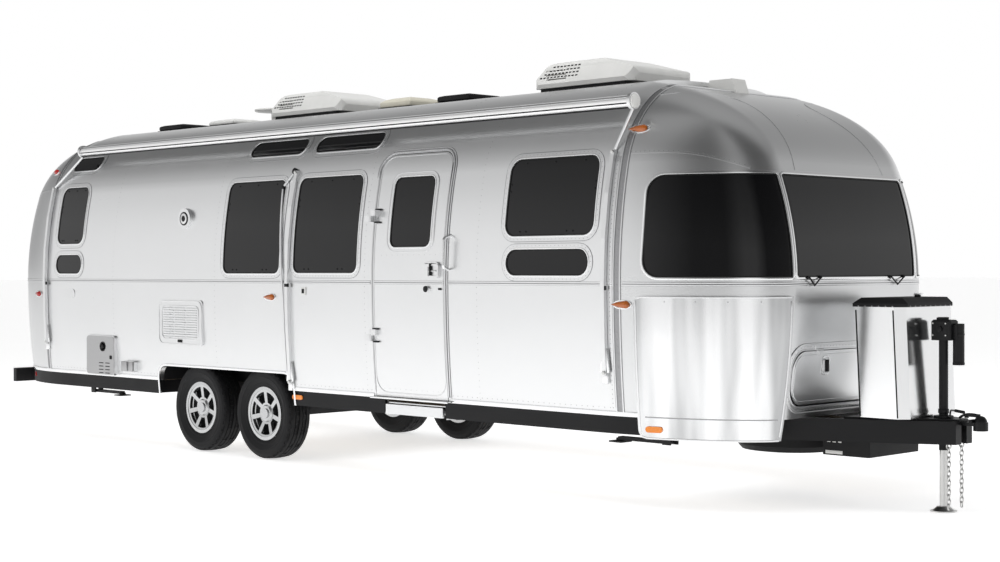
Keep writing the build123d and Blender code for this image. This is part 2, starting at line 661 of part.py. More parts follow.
def axles():
    """Two rubber torsion axles: tube, trailing arms, spindles and brake plates."""
    beams = []
    for x in AXLE_XS.values():
        tube_x = x + TORSION_ARM
        tube_z = FRAME_LOW - AXLE_TUBE / 2
        beam = Pos(tube_x, 0, tube_z) * Box(AXLE_TUBE, 2 * (RAIL_Y + 90), AXLE_TUBE)
        for side in (-1, 1):
            arm_y = side * (RAIL_Y + 115)
            arm = rod((tube_x, arm_y - 25, tube_z), (tube_x, arm_y + 25, tube_z), 44)
            arm += rod((x, arm_y - 25, TYRE_RADIUS), (x, arm_y + 25, TYRE_RADIUS), 38)
            tilt = degrees(atan2(tube_z - TYRE_RADIUS, TORSION_ARM))
            reach = hypot(TORSION_ARM, tube_z - TYRE_RADIUS)
            middle = Pos((x + tube_x) / 2, arm_y, (tube_z + TYRE_RADIUS) / 2)
            arm += middle * Rot(0, -tilt, 0) * Box(reach, 50, 62)
            y_in, y_out = side * (RAIL_Y + 130), side * (WHEEL_Y - 8)
            arm += rod((x, y_in, TYRE_RADIUS), (x, y_out, TYRE_RADIUS), SPINDLE_RADIUS)
            plate_y = side * (RAIL_Y + 150)
            arm += rod((x, plate_y, TYRE_RADIUS), (x, plate_y + side * 8, TYRE_RADIUS), 150)
            beam += arm
        beams.append(beam)
    parts["axles"] = beams


def tyre():
    """A radial trailer tyre's outline, turned about the Y axis."""
    half = TYRE_WIDTH / 2
    bead_y = RIM_WIDTH / 2 - 4 - SEAT
    tread_y = half * TREAD_SHARE
    wall = TYRE_RADIUS - RIM_LIP_RADIUS
    # columns: radius, distance from the middle plane
    side = [
        (RIM_RADIUS + SEAT, bead_y), (RIM_LIP_RADIUS + 2, bead_y), (RIM_LIP_RADIUS + 0.42 * wall, half),
        (RIM_LIP_RADIUS + 0.8 * wall, half - 8), (TYRE_RADIUS, tread_y),
    ]
    outline = side + [(radius, -y) for radius, y in reversed(side)]
    return revolve(make_face(Polyline(*outline, close=True)), Axis.Y, 360)


def rim():
    """Cast alloy wheel: turned barrel, seven spokes, hub with cap and lug bosses, brake drum.

    It is turned about the Y axis, and its face looks along -Y.
    """
    half = RIM_WIDTH / 2
    out = -half
    barrel = Polyline(
        (RIM_RADIUS, half - 4), (RIM_LIP_RADIUS, half - 4), (RIM_LIP_RADIUS, half), (RIM_RADIUS - 9, half),
        (RIM_RADIUS - 26, half - 40), (RIM_RADIUS - 26, -half + 46), (RIM_RADIUS - 9, -half + 22),
        (RIM_RADIUS - 9, -half), (RIM_LIP_RADIUS, -half), (RIM_LIP_RADIUS, -half + 4),
        (RIM_RADIUS, -half + 4), (RIM_RADIUS, -half + 14),
        (RIM_RADIUS - 18, -half + 50), (RIM_RADIUS - 18, half - 44),
        (RIM_RADIUS, half - 14), close=True,
    )
    wheel = revolve(make_face(barrel), Axis.Y, 360)
    # a dished disc, then windows between the spokes
    disc = Polyline(
        (0, out + 12), (62, out + 12), (72, out + 24), (RIM_RADIUS - 24, out + 8),
        (RIM_RADIUS - 8, out + 4), (RIM_RADIUS - 8, out + 30), (RIM_RADIUS - 24, out + 36),
        (78, out + 56), (40, out + 56), (0, out + 56),
        close=True,
    )
    face = revolve(make_face(disc), Axis.Y, 360)
    pitch = 2 * pi / SPOKES
    inner_r, outer_r = 88.0, RIM_RADIUS - 27
    spoke_half = 17.0
    for k in range(SPOKES):
        middle = pi / 2 + pitch * (k + 0.5)
        a_in = pitch / 2 - asin(spoke_half / inner_r)
        a_out = pitch / 2 - asin((spoke_half + 2) / outer_r)
        def at(radius, angle):
            return (radius * cos(middle + angle), radius * sin(middle + angle))
        edges = [
            Line(at(inner_r, -a_in), at(outer_r, -a_out)),
            ThreePointArc(at(outer_r, -a_out), at(outer_r, 0), at(outer_r, a_out)),
            Line(at(outer_r, a_out), at(inner_r, a_in)),
            ThreePointArc(at(inner_r, a_in), at(inner_r, 0), at(inner_r, -a_in)),
        ]
        window = extrude(Plane.XZ * make_face(edges), 400, both=True)
        face -= window
    wheel += face
    hub_in = WHEEL_Y - (RAIL_Y + 150) - 22
    wheel += rod((0, out + 50, 0), (0, hub_in, 0), 56)
    drum = rod((0, hub_in - 58, 0), (0, hub_in, 0), 150) - rod((0, hub_in - 46, 0), (0, hub_in + 1, 0), 138)
    wheel += drum
    wheel += rod((0, hub_in - 58, 0), (0, hub_in, 0), 56)
    wheel -= rod((0, out + 70, 0), (0, hub_in + 5, 0), SPINDLE_RADIUS + SEAT)
    wheel += rod((0, out + 2, 0), (0, out + 14, 0), 40)
    for k in range(LUGS):
        a = 2 * pi * k / LUGS
        wheel += rod((58 * cos(a), out + 14, 58 * sin(a)), (58 * cos(a), out + 30, 58 * sin(a)), 10)
    return wheel


def wheels():
    tyre_shape = tyre()
    rim_shape = rim()
    for end, x in AXLE_XS.items():
        for side_name, side in (("curb", -1), ("street", 1)):
            place = Pos(x, side * WHEEL_Y, TYRE_RADIUS)
            turn = Rot(0, 0, 0) if side < 0 else Rot(0, 0, 180)
            parts[f"tyre_{end}_{side_name}"] = [place * turn * tyre_shape]
            parts[f"rim_{end}_{side_name}"] = [place * turn * rim_shape]


def spare_wheel():
    """The spare lies flat under the front of the frame, on a tray."""
    x, z = 3600.0, SPARE_LOW + TYRE_WIDTH / 2
    wheel = Pos(x, 0, z) * Rot(90, 0, 0) * tyre()
    disc = Pos(x, 0, z) * Cylinder(RIM_RADIUS, 14)
    lip = rod((x, 0, z - 60), (x, 0, z + 60), 42)
    bolt = rod((x, 0, z + 60), (x, 0, RAIL_Z - SEAT), 12)
    parts["spare_wheel"] = [wheel, disc + lip + bolt]


def rock_guards():
    """Polished guards round the front corners, held off the skin along their edges."""
    sheet = body_form(-GUARD_STANDOFF, GUARD_LOW) - body_form(-GUARD_STANDOFF + GUARD_SHEET, GUARD_LOW - 1)
    rib = body_form(-GUARD_STANDOFF + 1, GUARD_LOW) - seat_form
    pieces = []
    for side in (-1, 1):
        y0, y1 = sorted((side * GUARD_HALF_GAP, side * 1500.0))
        window = slab(GUARD_REAR_X, 4600, GUARD_LOW, GUARD_TOP, 60, y0, y1)
        window &= span(GUARD_REAR_X - 1, 5000, y0, y1, GUARD_LOW - 1, GUARD_TOP + 1)
        guard = sheet & window
        edge = window - slab(GUARD_REAR_X + 6, 4700, GUARD_LOW + 6, GUARD_TOP - 6, 54, y0 - 1, y1 + 1)
        edge &= span(0, 5000, y0, y1, RAIL_Z, 3000)
        guard += rib & edge
        pieces.append(guard)
    parts["rock_guards"] = pieces


def roof_units():
    """Two air conditioners, four roof vents and the aerials."""
    shrouds = []
    bases = []
    lids = []
    for x0, x1 in AIR_CONDITIONERS:
        base = span(x0 + 60, x1 - 90, -AC_HALF_WIDTH + 40, AC_HALF_WIDTH - 40, CROWN_Z - 90, AC_BASE_TOP_Z)
        bases.append(base - seat_form)
        low, top = AC_BASE_TOP_Z + SEAT, AC_TOP_Z
        peak = x0 + 0.42 * (x1 - x0)
        side = [
            Line((x0 + 20, low), (x0, low + 26)), Line((x0, low + 26), (x0 + 90, top - 44)),
            ThreePointArc((x0 + 90, top - 44), (x0 + 130, top - 22), (x0 + 190, top - 12)),
            ThreePointArc((x0 + 190, top - 12), (peak, top), (peak + 220, top - 10)),
            Line((peak + 220, top - 10), (x1 - 60, top - 92)),
            ThreePointArc((x1 - 60, top - 92), (x1 - 12, top - 118), (x1, top - 150)),
            Line((x1, top - 150), (x1 - 14, low)), Line((x1 - 14, low), (x0 + 20, low)),
        ]
        shroud = extrude(Plane.XZ * make_face(side), AC_HALF_WIDTH, both=True)
        w = AC_HALF_WIDTH
        cross = [
            Line((-w + 12, low - 1), (-w, low + 30)), Line((-w, low + 30), (-w + 62, top - 62)),
            ThreePointArc((-w + 62, top - 62), (-w + 88, top - 24), (-w + 140, top - 8)),
            ThreePointArc((-w + 140, top - 8), (0, top + 4), (w - 140, top - 8)),
            ThreePointArc((w - 140, top - 8), (w - 88, top - 24), (w - 62, top - 62)),
            Line((w - 62, top - 62), (w, low + 30)), Line((w, low + 30), (w - 12, low - 1)),
            Line((w - 12, low - 1), (-w + 12, low - 1)),
        ]
        shroud &= Pos(x0 - 50, 0, 0) * extrude(Plane.YZ * make_face(cross), x1 - x0 + 100)
        plan = RectangleRounded(x1 - x0, 2 * w, 90)
        shroud &= Pos((x0 + x1) / 2, 0, low - 5) * extrude(plan, 400)
        # intake slots at the rear of each flank and across the rear end
        for row in range(3):
            z = low + 62 + 34 * row
            for side_sign in (-1, 1):
                y = side_sign * w
                slot = Pos(x0 + 240 - 20 * row, y, z) * Box(200, 130, 11)
                shroud -= slot
        shrouds.append(shroud)
    for x, half, height in ROOF_VENTS:
        flange = Pos(x, 0, CROWN_Z + 4) * Box(2 * half + 30, 2 * half + 30, 60)
        bases.append(flange - seat_form)
        low = CROWN_Z + 34 + SEAT
        dome = Pos(x, 0, low) * extrude(RectangleRounded(2 * half, 2 * half, 40), height, taper=32)
        lids.append(dome)
    # saucer aerial on a post
    saucer = Pos(-2330, 120, 3030) * Cylinder(180, 22)
    saucer = fillet(saucer.edges(), 9)
    post = rod((-2330, 120, CROWN_Z - 40), (-2330, 120, 3025), 24)
    aerial = on_skin(saucer + post)
    fin = extrude(Plane.XZ * make_face(Polyline(
        (2895, 2700), (3205, 2700), (3185, 2780), (3150, 2880), (2950, 2880), close=True)), 75, both=True)
    parts["air_conditioner_shrouds"] = shrouds
    parts["roof_unit_bases"] = bases
    parts["roof_vent_lids"] = lids
    parts["aerials"] = [aerial, on_skin(fin)]


def awning():
    """The rolled awning, its end caps and three folded arms on the curb side."""
    roller = rod((ROLLER_REAR_X, -ROLLER_Y, ROLLER_Z), (ROLLER_FRONT_X, -ROLLER_Y, ROLLER_Z), ROLLER_RADIUS)
    parts["awning_roller"] = [roller]
    arms = []
    cap = 26.0
    # columns: x of the upright, roller end it holds or None, foot z
    for x, end, foot in (
        (3035.0, ROLLER_FRONT_X, 850.0),
        (-310.0, None, 640.0),
        (-4010.0, ROLLER_REAR_X, 850.0),
    ):
        arm = None
        knees = (foot, 1100.0, BELT_Z, 1750.0, 2050.0, 2335.0)
        seat = SEAT
        for low, high in zip(knees, knees[1:]):
            y_low, y_high = side_y(low), side_y(high)
            outline = Polyline(
                (-y_low - seat, low), (-y_low - ARM_DEPTH, low), (-y_high - ARM_DEPTH, high),
                (-y_high - seat, high), close=True,
            )
            piece = extrude(Plane.YZ * make_face(outline), ARM_WIDTH)
            piece = Pos(x - ARM_WIDTH / 2, 0, 0) * piece
            arm = piece if arm is None else arm + piece
        if end is not None:
            sign = 1 if end > 0 else -1
            head_x = end + sign * (SEAT + cap / 2)
            head = Pos(head_x, -ROLLER_Y, ROLLER_Z) * Rot(0, 90, 0) * Cylinder(ROLLER_RADIUS + 14, cap)
            foot_point = (x, -side_y(2335.0) - 14, 2325.0)
            link = rod(foot_point, (head_x, -ROLLER_Y, ROLLER_Z - ROLLER_RADIUS - 2), 12)
            arm += head + link
        arms.append(arm - seat_form)
    parts["awning_arms"] = arms


def rear_bumper():
    """The rear bumper bar with its turned ends and two brackets to the frame."""
    x = BUMPER_REAR_X
    low, high = BUMPER_LOW, BUMPER_HIGH
    bar = span(x, x + BUMPER_DEPTH, -BUMPER_HALF, BUMPER_HALF, low, high)
    bar = fillet(bar.edges().filter_by(Axis.Z).group_by(Axis.X)[0], 60)
    for side in (-1, 1):
        y = side * RAIL_Y
        bar += span(x + 60, BODY_REAR + 140 - SEAT, y - 25, y + 25, low + 10, high - 12)
    parts["rear_bumper"] = [bar]


def lamp(x, y_side, z):
    """A bullet marker lamp whose point looks rearward, turned to follow the skin."""
    length, radius = LAMP_LENGTH, LAMP_RADIUS
    outline = [
        ThreePointArc((-length, 0), (-0.45 * length, 0.72 * radius), (0, radius)),
        ThreePointArc((0, radius), (radius * sin(pi / 4), radius * cos(pi / 4)), (radius, 0)),
        Line((radius, 0), (-length, 0)),
    ]
    bullet = revolve(make_face(outline), Axis.X, 360)
    y = skin_y(x, z)
    turn = degrees(atan2(skin_y(x + 1, z) - y, 1))
    placed = Pos(x, y + LAMP_SINK, z) * Rot(0, 0, turn) * bullet
    return on_skin(placed if y_side > 0 else mirror(placed, about=Plane.XZ))


def lamps():
    """Amber marker lamps on the sides, red ones at the rear, and the stop lamps."""
    amber = []
    red = []
    for side in (-1, 1):
        for x, z in AMBER_LAMPS:
            amber.append(lamp(x, side, z))
        for x, z in RED_LAMPS:
            red.append(lamp(x, side, z))
        y0, y1 = sorted((side * STOP_LAMP_OUTER, side * STOP_LAMP_INNER))
        stop = end_slab(y0, y1, STOP_LAMP_LOW, STOP_LAMP_HIGH, 50, BODY_REAR - 30, BODY_REAR + 160)
        red.append(on_skin(stop))
    parts["marker_lamps"] = amber
    parts["rear_lamps"] = red


def side_services():
    """Louvred refrigerator vent, heater door, outlet and round flue on the curb side."""
    depth = -HALF_WIDTH - 6
    vent = on_skin(slab(-2126, -1478, 904, 1290, 38, -1200, depth))
    for z in range(960, 1250, 34):
        vent -= slab(-1960, -1640, z, z + 14, 6, -HALF_WIDTH - 2, depth - 30)
    heater = on_skin(slab(-3292, -2832, 600, 955, 24, -1200, depth))
    outlet = on_skin(slab(-2700, -2518, 642, 740, 14, -1200, depth + 3))
    flue = on_skin(Pos(-1762, -1240, 1984) * Rot(90, 0, 0) * Cylinder(88, 80))
    plate = on_skin(slab(-3730, -3504, 1287, 1372, 40, -1200, -HALF_WIDTH - 4))
    street = on_skin(slab(-3100, -2700, 760, 1060, 20, -1200, depth))
    hook_up = on_skin(slab(-4000, -3880, 800, 920, 16, -1200, depth))
    parts["service_panels"] = [vent, heater, outlet, flue, plate] + [
        mirror(item, about=Plane.XZ) for item in (street, hook_up)]


def rail_fittings():
    """The grab handle beside the door, and the fixed halves of the door hinges."""
    x = GRAB_HANDLE_X
    bar = [(x, -1250, 1800), (x, -HALF_WIDTH - 52, 1772), (x, -HALF_WIDTH - 58, 1560), (x, -1260, 1535)]
    path = FilletPolyline(*bar, radius=24)
    plane = Plane(origin=path @ 0, z_dir=path % 0)
    handle = on_skin(sweep(plane * Circle(10), path=path))
    fixed, moving = hinge_set()
    parts["grab_handle"] = [handle]
    parts["fixed_hinges"] += fixed
    parts["door_trim"] += moving


def entry_step():
    """The pull-out step and the housing that it slides in."""
    x0, x1 = STEP_REAR_X, STEP_FRONT_X
    tread_z = SKIRT_BOTTOM + 52
    front = -(side_y(RAIL_Z) - 2)
    tread = span(x0 + 8, x1 - 8, front, front + 300, tread_z - 26, tread_z)
    tread += span(x0 + 8, x1 - 8, front, front + 14, tread_z - 52, tread_z + 20)
    for a, b in ((x0 + SEAT, x0 + 8), (x1 - 8, x1 - SEAT)):
        tread += span(a, b, front + 60, front + STEP_TRAVEL + 60, tread_z - 18, tread_z - 8)
    parts["entry_step"] = [tread]
    back = front + 330
    housing = span(x0 - 10, x0, front + 30, back, SKIRT_BOTTOM - 12, RAIL_Z - SEAT)
    housing += span(x1, x1 + 10, front + 30, back, SKIRT_BOTTOM - 12, RAIL_Z - SEAT)
    housing += span(x0 - 10, x1 + 10, front + 30, back, tread_z + 26, tread_z + 34)
    housing += span(x0 - 10, x1 + 10, back - 10, back, SKIRT_BOTTOM - 12, tread_z + 30)
    parts["step_frame"] = [housing]


def gas_cover():
    """The bevelled sheet cover over the two gas bottles, its lid and the bottles."""
    half = COVER_HALF_WIDTH
    c = COVER_CHAMFER
    x0, x1 = 0.0, COVER_LENGTH
    def ring(grow):
        return Polyline(
            (x0 - grow, -half - grow), (x1 - c, -half - grow), (x1 + grow, -half + c), (x1 + grow, half - c),
            (x1 - c, half + grow), (x0 - grow, half + grow), close=True,
        )
    height = COVER_HIGH - COVER_LOW
    low_x = COVER_REAR_X + COVER_LEAN
    outer = loft([
        Pos(low_x, 0, COVER_LOW) * make_face(ring(0)),
        Pos(COVER_REAR_X, 0, COVER_HIGH) * make_face(ring(0)),
    ])
    inner = loft([
        Pos(low_x, 0, COVER_LOW - 1) * make_face(ring(-COVER_SHEET)),
        Pos(COVER_REAR_X, 0, COVER_HIGH + 1) * make_face(ring(-COVER_SHEET)),
    ])
    body = outer - inner
    lid_low = COVER_HIGH + SEAT
    grow = LID_OVERHANG
    brim = Pos(COVER_REAR_X, 0, lid_low) * extrude(make_face(ring(grow)), 22)
    crown = loft([
        Pos(COVER_REAR_X, 0, lid_low + 22) * make_face(ring(grow)),
        Pos(COVER_REAR_X, 0, lid_low + LID_HEIGHT) * make_face(ring(grow - 40)),
    ])
    lid = brim + crown
    knob = Pos(COVER_REAR_X + COVER_LENGTH - 80, 0, lid_low + LID_HEIGHT) * Cylinder(20, 30)
    hinge_x = COVER_REAR_X - LID_OVERHANG - 7
    for y in (-200.0, 200.0):
        lid += rod((hinge_x, y + 0.25, LID_AXIS_Z), (hinge_x, y + 40, LID_AXIS_Z), 7)
        lid += span(hinge_x, hinge_x + 12, y + 0.25, y + 40, LID_AXIS_Z, LID_AXIS_Z + 7)
        body += rod((hinge_x, y - 40, LID_AXIS_Z), (hinge_x, y - 0.25, LID_AXIS_Z), 7)
        body += span(hinge_x - 4, COVER_REAR_X + 3, y - 40, y - 0.25, LID_AXIS_Z - 26, LID_AXIS_Z - 2)
    parts["gas_cover"] = [body]
    parts["gas_lid"] = [lid + knob]
    bottles = []
    bottle_z = RAIL_Z + TONGUE_PLATE + SEAT
    for side in (-1, 1):
        outline = [
            Line((0, 0), (95, 0)), Line((95, 0), (95, 18)),
            ThreePointArc((95, 18), (BOTTLE_RADIUS - 12, 38), (BOTTLE_RADIUS, 90)),
            Line((BOTTLE_RADIUS, 90), (BOTTLE_RADIUS, BOTTLE_HEIGHT - 170)),
            ThreePointArc((BOTTLE_RADIUS, BOTTLE_HEIGHT - 170), (BOTTLE_RADIUS - 22, BOTTLE_HEIGHT - 110),
                          (80, BOTTLE_HEIGHT - 70)),
            Line((80, BOTTLE_HEIGHT - 70), (80, BOTTLE_HEIGHT)), Line((80, BOTTLE_HEIGHT), (0, BOTTLE_HEIGHT)),
            Line((0, BOTTLE_HEIGHT), (0, 0)),
        ]
        bottle = revolve(Plane.XZ * make_face(outline), Axis.Z, 360)
        x = COVER_REAR_X + COVER_LEAN / 2 + COVER_LENGTH / 2 + 3
        bottles.append(Pos(x, side * (BOTTLE_RADIUS + 4), bottle_z) * bottle)
    parts["gas_bottles"] = bottles


def tongue_jack():
    """Electric jack: head and tube on the frame, inner leg and foot that slide."""
    head = span(JACK_X - 62, JACK_X + 78, -62, 62, JACK_HEAD_LOW, JACK_HEAD_TOP - 16)
    head = fillet(head.edges().filter_by(Axis.Z), 26)
    head = chamfer(head.faces().sort_by(Axis.Z)[-1].edges(), 12)
    cap = rod((JACK_X, 0, JACK_HEAD_TOP - 16), (JACK_X, 0, JACK_HEAD_TOP), 34)
    motor = rod((JACK_X + 96, 20, 935), (JACK_X + 96, 20, JACK_HEAD_TOP - 40), 36)
    neck = span(JACK_X + 60, JACK_X + 110, -20, 46, JACK_HEAD_LOW + 10, JACK_HEAD_TOP - 50)
    bore = JACK_INNER_RADIUS + SEAT
    tube = rod((JACK_X, 0, JACK_TUBE_LOW), (JACK_X, 0, JACK_HEAD_LOW + 4), JACK_OUTER_RADIUS, bore)
    plate_z = RAIL_Z + TONGUE_PLATE
    flange = rod((JACK_X, 0, plate_z + SEAT), (JACK_X, 0, plate_z + 14), 62, JACK_OUTER_RADIUS - 1)
    parts["jack_body"] = [head + cap + motor + neck + tube + flange]
    leg_top = JACK_HEAD_LOW - 400.0
    leg = rod((JACK_X, 0, 8), (JACK_X, 0, leg_top), JACK_INNER_RADIUS)
    foot = Pos(JACK_X, 0, 4) * Cylinder(JACK_FOOT_RADIUS, 8)
    skirt = Pos(JACK_X, 0, 8) * extrude(Circle(JACK_FOOT_RADIUS - 14), 26, taper=50)
    parts["jack_leg"] = [leg + foot + skirt]


def coupler():
    """Ball coupler: channel, domed socket and lever, on the tongue's tip."""
    tip = BALL_SOCKET_X
    low, high = COUPLER_LOW + 30, RAIL_Z - 4
    body = span(TONGUE_TIP_X - 100, TONGUE_TIP_X + 5, -TONGUE_TIP_Y + SEAT, TONGUE_TIP_Y - SEAT, low, high)
    body += span(TONGUE_TIP_X + SEAT, tip, -40, 40, low, high)
    body += Pos(tip, 0, COUPLER_LOW + 27) * Cylinder(46, 54)
    body += Pos(tip, 0, COUPLER_LOW + 54) * Sphere(40) & span(tip - 60, tip + 60, -60, 60, COUPLER_LOW, 700)
    body -= Pos(tip, 0, COUPLER_LOW) * Cylinder(BALL_SOCKET_RADIUS, 84)
    lever_low = COUPLER_TOP - 20
    body += span(tip - 110, tip - 6, -9, 9, lever_low, COUPLER_TOP)
    body += span(tip - 30, tip - 6, -9, 9, COUPLER_LOW + 60, lever_low)
    parts["coupler"] = [body]


def link_outline(length, width):
    """A chain link's outline, with its corners cut off."""
    cut = width * 0.3
    x, y = length / 2, width / 2
    return make_face(Polyline(
        (-x, -y + cut), (-x + cut, -y), (x - cut, -y), (x, -y + cut),
        (x, y - cut), (x - cut, y), (-x + cut, y), (-x, y - cut), close=True,
    ))


def safety_chains():
    """Two chains hang from eyes under the tongue."""
    wire, width, length = 8.0, 30.0, 46.0
    pitch = length - 2 * wire - SEAT
    eye_outer, eye_inner, eye_z = 20.0, 11.0, FRAME_LOW - 14
    chains = []
    loop = link_outline(length, width) - link_outline(length - 2 * wire, width - 2 * wire)
    link = Rot(0, 90, 0) * extrude(loop, wire / 2, both=True)
    for side in (-1, 1):
        x, y = 4850.0, side * 78.0
        eye = Pos(x, y, eye_z) * Rot(90, 0, 0) * (Cylinder(eye_outer, 10) - Cylinder(eye_inner, 12))
        eye &= span(x - 30, x + 30, y - 30, y + 30, 0, FRAME_LOW - SEAT)
        chains.append(eye)
        z = eye_z - sqrt(eye_inner ** 2 - (wire / 2) ** 2) + SEAT + wire - length / 2
        count = 13
        for k in range(count):
            turn = Rot(0, 0, 90 * (k % 2))
            chains.append(Pos(x, y, z - k * pitch) * turn * link)
    parts["safety_chains"] = chains


def battery_box():
    """The battery tray under the tongue."""
    box = span(4056, 4415, -310, 290, 336, FRAME_LOW - SEAT)
    box = chamfer(box.edges().filter_by(Axis.Z), 12)
    parts["battery_box"] = [box]


STABILISER_ARM = 430.0
STABILISER_Z = FRAME_LOW - 20.0
# columns: name, pivot x, side, way that the arm lies from its pivot
STABILISERS = [
    ("front_curb", 3380.0, -1, -1), ("front_street", 3380.0, 1, -1),
    ("rear_curb", -3530.0, -1, 1), ("rear_street", -3530.0, 1, 1),
]


def stabilisers():
    """Four folding legs under the frame, shown folded up, and their brackets."""
    brackets = []
    for name, x, side, way in STABILISERS:
        y = side * 1040.0
        z = STABILISER_Z
        arm_x = x + way * STABILISER_ARM
        arm = Pos((x + arm_x) / 2, y, z) * Box(STABILISER_ARM, 50, 24)
        arm += rod((x, y - 31 + SEAT, z), (x, y + 31 - SEAT, z), 14)
        arm += Pos(arm_x, y, z - 22) * Box(110, 110, 10)
        arm += Pos(arm_x, y, z - 10) * Box(40, 40, 24)
        parts[f"stabiliser_{name}"] = [arm]
        bracket = span(x - 34, x + 34, y - 44, y - 31, z - 16, SKIRT_BOTTOM + 3)
        bracket += span(x - 34, x + 34, y + 31, y + 44, z - 16, SKIRT_BOTTOM + 3)
        bracket += span(x - 34, x + 34, y - 44, y + 44, SKIRT_BOTTOM - 10, SKIRT_BOTTOM + 3)
        a, b = sorted((side * (RAIL_Y + RAIL_WIDTH / 2 + SEAT), side * 1200.0))
        bracket += span(x - 25, x + 25, a, b, SKIRT_BOTTOM + 3, RAIL_Z - SEAT)
        brackets.append(bracket)
    parts["cross_members"] += brackets


def write_parts():
    os.makedirs("parts", exist_ok=True)
    for name, solids in parts.items():
        flat = [piece for item in solids for piece in item.solids()]
        shape = flat[0] if len(flat) == 1 else Compound(children=flat)
        export_step(shape, f"parts/{name}.step")
        print(name, len(flat))


shell_panels()
glazing()
window_trims()
entry_door()
front_hatch()
rail_fittings()
floor_plate()
wheel_wells()
chassis()
belly_pans()
skirts()
axles()
wheels()
spare_wheel()
rock_guards()
roof_units()
awning()
rear_bumper()
lamps()
side_services()
entry_step()
gas_cover()
tongue_jack()
coupler()
safety_chains()
battery_box()
stabilisers()
write_parts()
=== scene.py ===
# %% [markdown]
# # A riveted aluminium caravan
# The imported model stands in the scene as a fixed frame. This lesson gives its metal, glass and
# rubber their real finishes, and adds what a workshop would add by hand: rivets, seams, beads,
# treads, chain links and small fittings. Everything is in metres. +X runs forward to the hitch,
# -Y is the curb side with the door, and +Z is up.

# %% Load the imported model
import bpy
from math import acos, asin, atan2, cos, hypot, pi, radians, sin, sqrt
from mathutils import Matrix, Vector


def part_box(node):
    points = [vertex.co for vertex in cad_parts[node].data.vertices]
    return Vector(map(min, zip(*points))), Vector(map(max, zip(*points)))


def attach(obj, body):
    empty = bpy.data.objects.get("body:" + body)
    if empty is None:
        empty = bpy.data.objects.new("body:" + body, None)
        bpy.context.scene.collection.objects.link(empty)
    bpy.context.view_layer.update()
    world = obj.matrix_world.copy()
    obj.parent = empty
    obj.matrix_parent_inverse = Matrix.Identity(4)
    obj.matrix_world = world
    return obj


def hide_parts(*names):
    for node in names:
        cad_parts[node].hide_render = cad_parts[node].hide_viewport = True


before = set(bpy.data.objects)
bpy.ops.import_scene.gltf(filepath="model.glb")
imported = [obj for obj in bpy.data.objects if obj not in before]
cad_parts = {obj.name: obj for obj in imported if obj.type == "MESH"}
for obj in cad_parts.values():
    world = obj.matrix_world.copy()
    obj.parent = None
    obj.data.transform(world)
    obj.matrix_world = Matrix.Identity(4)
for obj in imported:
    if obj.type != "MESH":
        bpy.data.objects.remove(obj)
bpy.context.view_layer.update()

# %% [markdown]
# ## A small shader language
# A material is a graph of nodes, and a graph is easiest to read as an expression. The class Link
# holds one output socket, and Python's operators add the Math nodes, so that a line such as
# 0.2 + 0.1 * grain builds the graph that it describes. Any other node comes from Finish.node.

# %% The shader helpers
class Link:
    """One output socket of a material, which + - * / turn into Math nodes."""

    def __init__(self, tree, socket):
        self.tree = tree
        self.socket = socket

    def _math(self, operation, first, second):
        node = self.tree.nodes.new("ShaderNodeMath")
        node.operation = operation
        for place, value in zip(node.inputs, (first, second)):
            feed(self.tree, place, value)
        return Link(self.tree, node.outputs[0])

    def __add__(self, other):
        return self._math("ADD", self, other)

    def __radd__(self, other):
        return self._math("ADD", other, self)

    def __sub__(self, other):
        return self._math("SUBTRACT", self, other)

    def __rsub__(self, other):
        return self._math("SUBTRACT", other, self)

    def __mul__(self, other):
        return self._math("MULTIPLY", self, other)

    def __rmul__(self, other):
        return self._math("MULTIPLY", other, self)


def feed(tree, place, value):
    """Puts a number, a colour or a Link on an input socket."""
    if isinstance(value, Link):
        tree.links.new(value.socket, place)
    elif isinstance(value, (tuple, list)) and place.type == "RGBA":
        place.default_value = (*value[:3], 1.0)
    else:
        place.default_value = value


class Finish:
    """A material with one Principled shader, whose sockets are set by name."""

    def __init__(self, name, **sockets):
        self.material = bpy.data.materials.new(name)
        self.material.use_nodes = True
        self.tree = self.material.node_tree
        self.shader = self.tree.nodes["Principled BSDF"]
        self.set(**sockets)

    def set(self, **sockets):
        """Sets inputs of the shader, with _ for a space in a name."""
        for name, value in sockets.items():
            feed(self.tree, self.shader.inputs[name.replace("_", " ")], value)

    def node(self, kind, settings=None, output=0, **inputs):
        """Any other node, with its settings and inputs by name."""
        made = self.tree.nodes.new("ShaderNode" + kind)
        for name, value in (settings or {}).items():
            if name == "stops":
                for stop, (place, color) in zip(made.color_ramp.elements, value):
                    stop.position = place
                    stop.color = (*color, 1.0)
            else:
                setattr(made, name, value)
        for name, value in inputs.items():
            feed(self.tree, made.inputs[name.replace("_", " ")], value)
        return Link(self.tree, made.outputs[output])

    def place(self, scale=(1.0, 1.0, 1.0)):
        """Object coordinates in metres, stretched by scale."""
        where = self.node("TexCoord", output=3)
        return self.node("Mapping", Vector=where, Scale=scale)

    def noise(self, scale, stretch=(1.0, 1.0, 1.0), detail=3.0, rough=0.5):
        """A soft noise in object coordinates."""
        where = self.place(stretch)
        return self.node("TexNoise", Vector=where, Scale=scale, Detail=detail, Roughness=rough)

    def blend(self, factor, first, second):
        """The colour mix of two colours by a factor."""
        made = self.tree.nodes.new("ShaderNodeMix")
        made.data_type = "RGBA"
        feed(self.tree, made.inputs[0], factor)
        feed(self.tree, made.inputs[6], first)
        feed(self.tree, made.inputs[7], second)
        return Link(self.tree, made.outputs[2])

    def relief(self, height, distance, strength=1.0):
        """A bump of the given height in metres."""
        made = self.tree.nodes.new("ShaderNodeBump")
        made.inputs["Strength"].default_value = strength
        made.inputs["Distance"].default_value = distance
        feed(self.tree, made.inputs["Height"], height)
        return Link(self.tree, made.outputs[0])


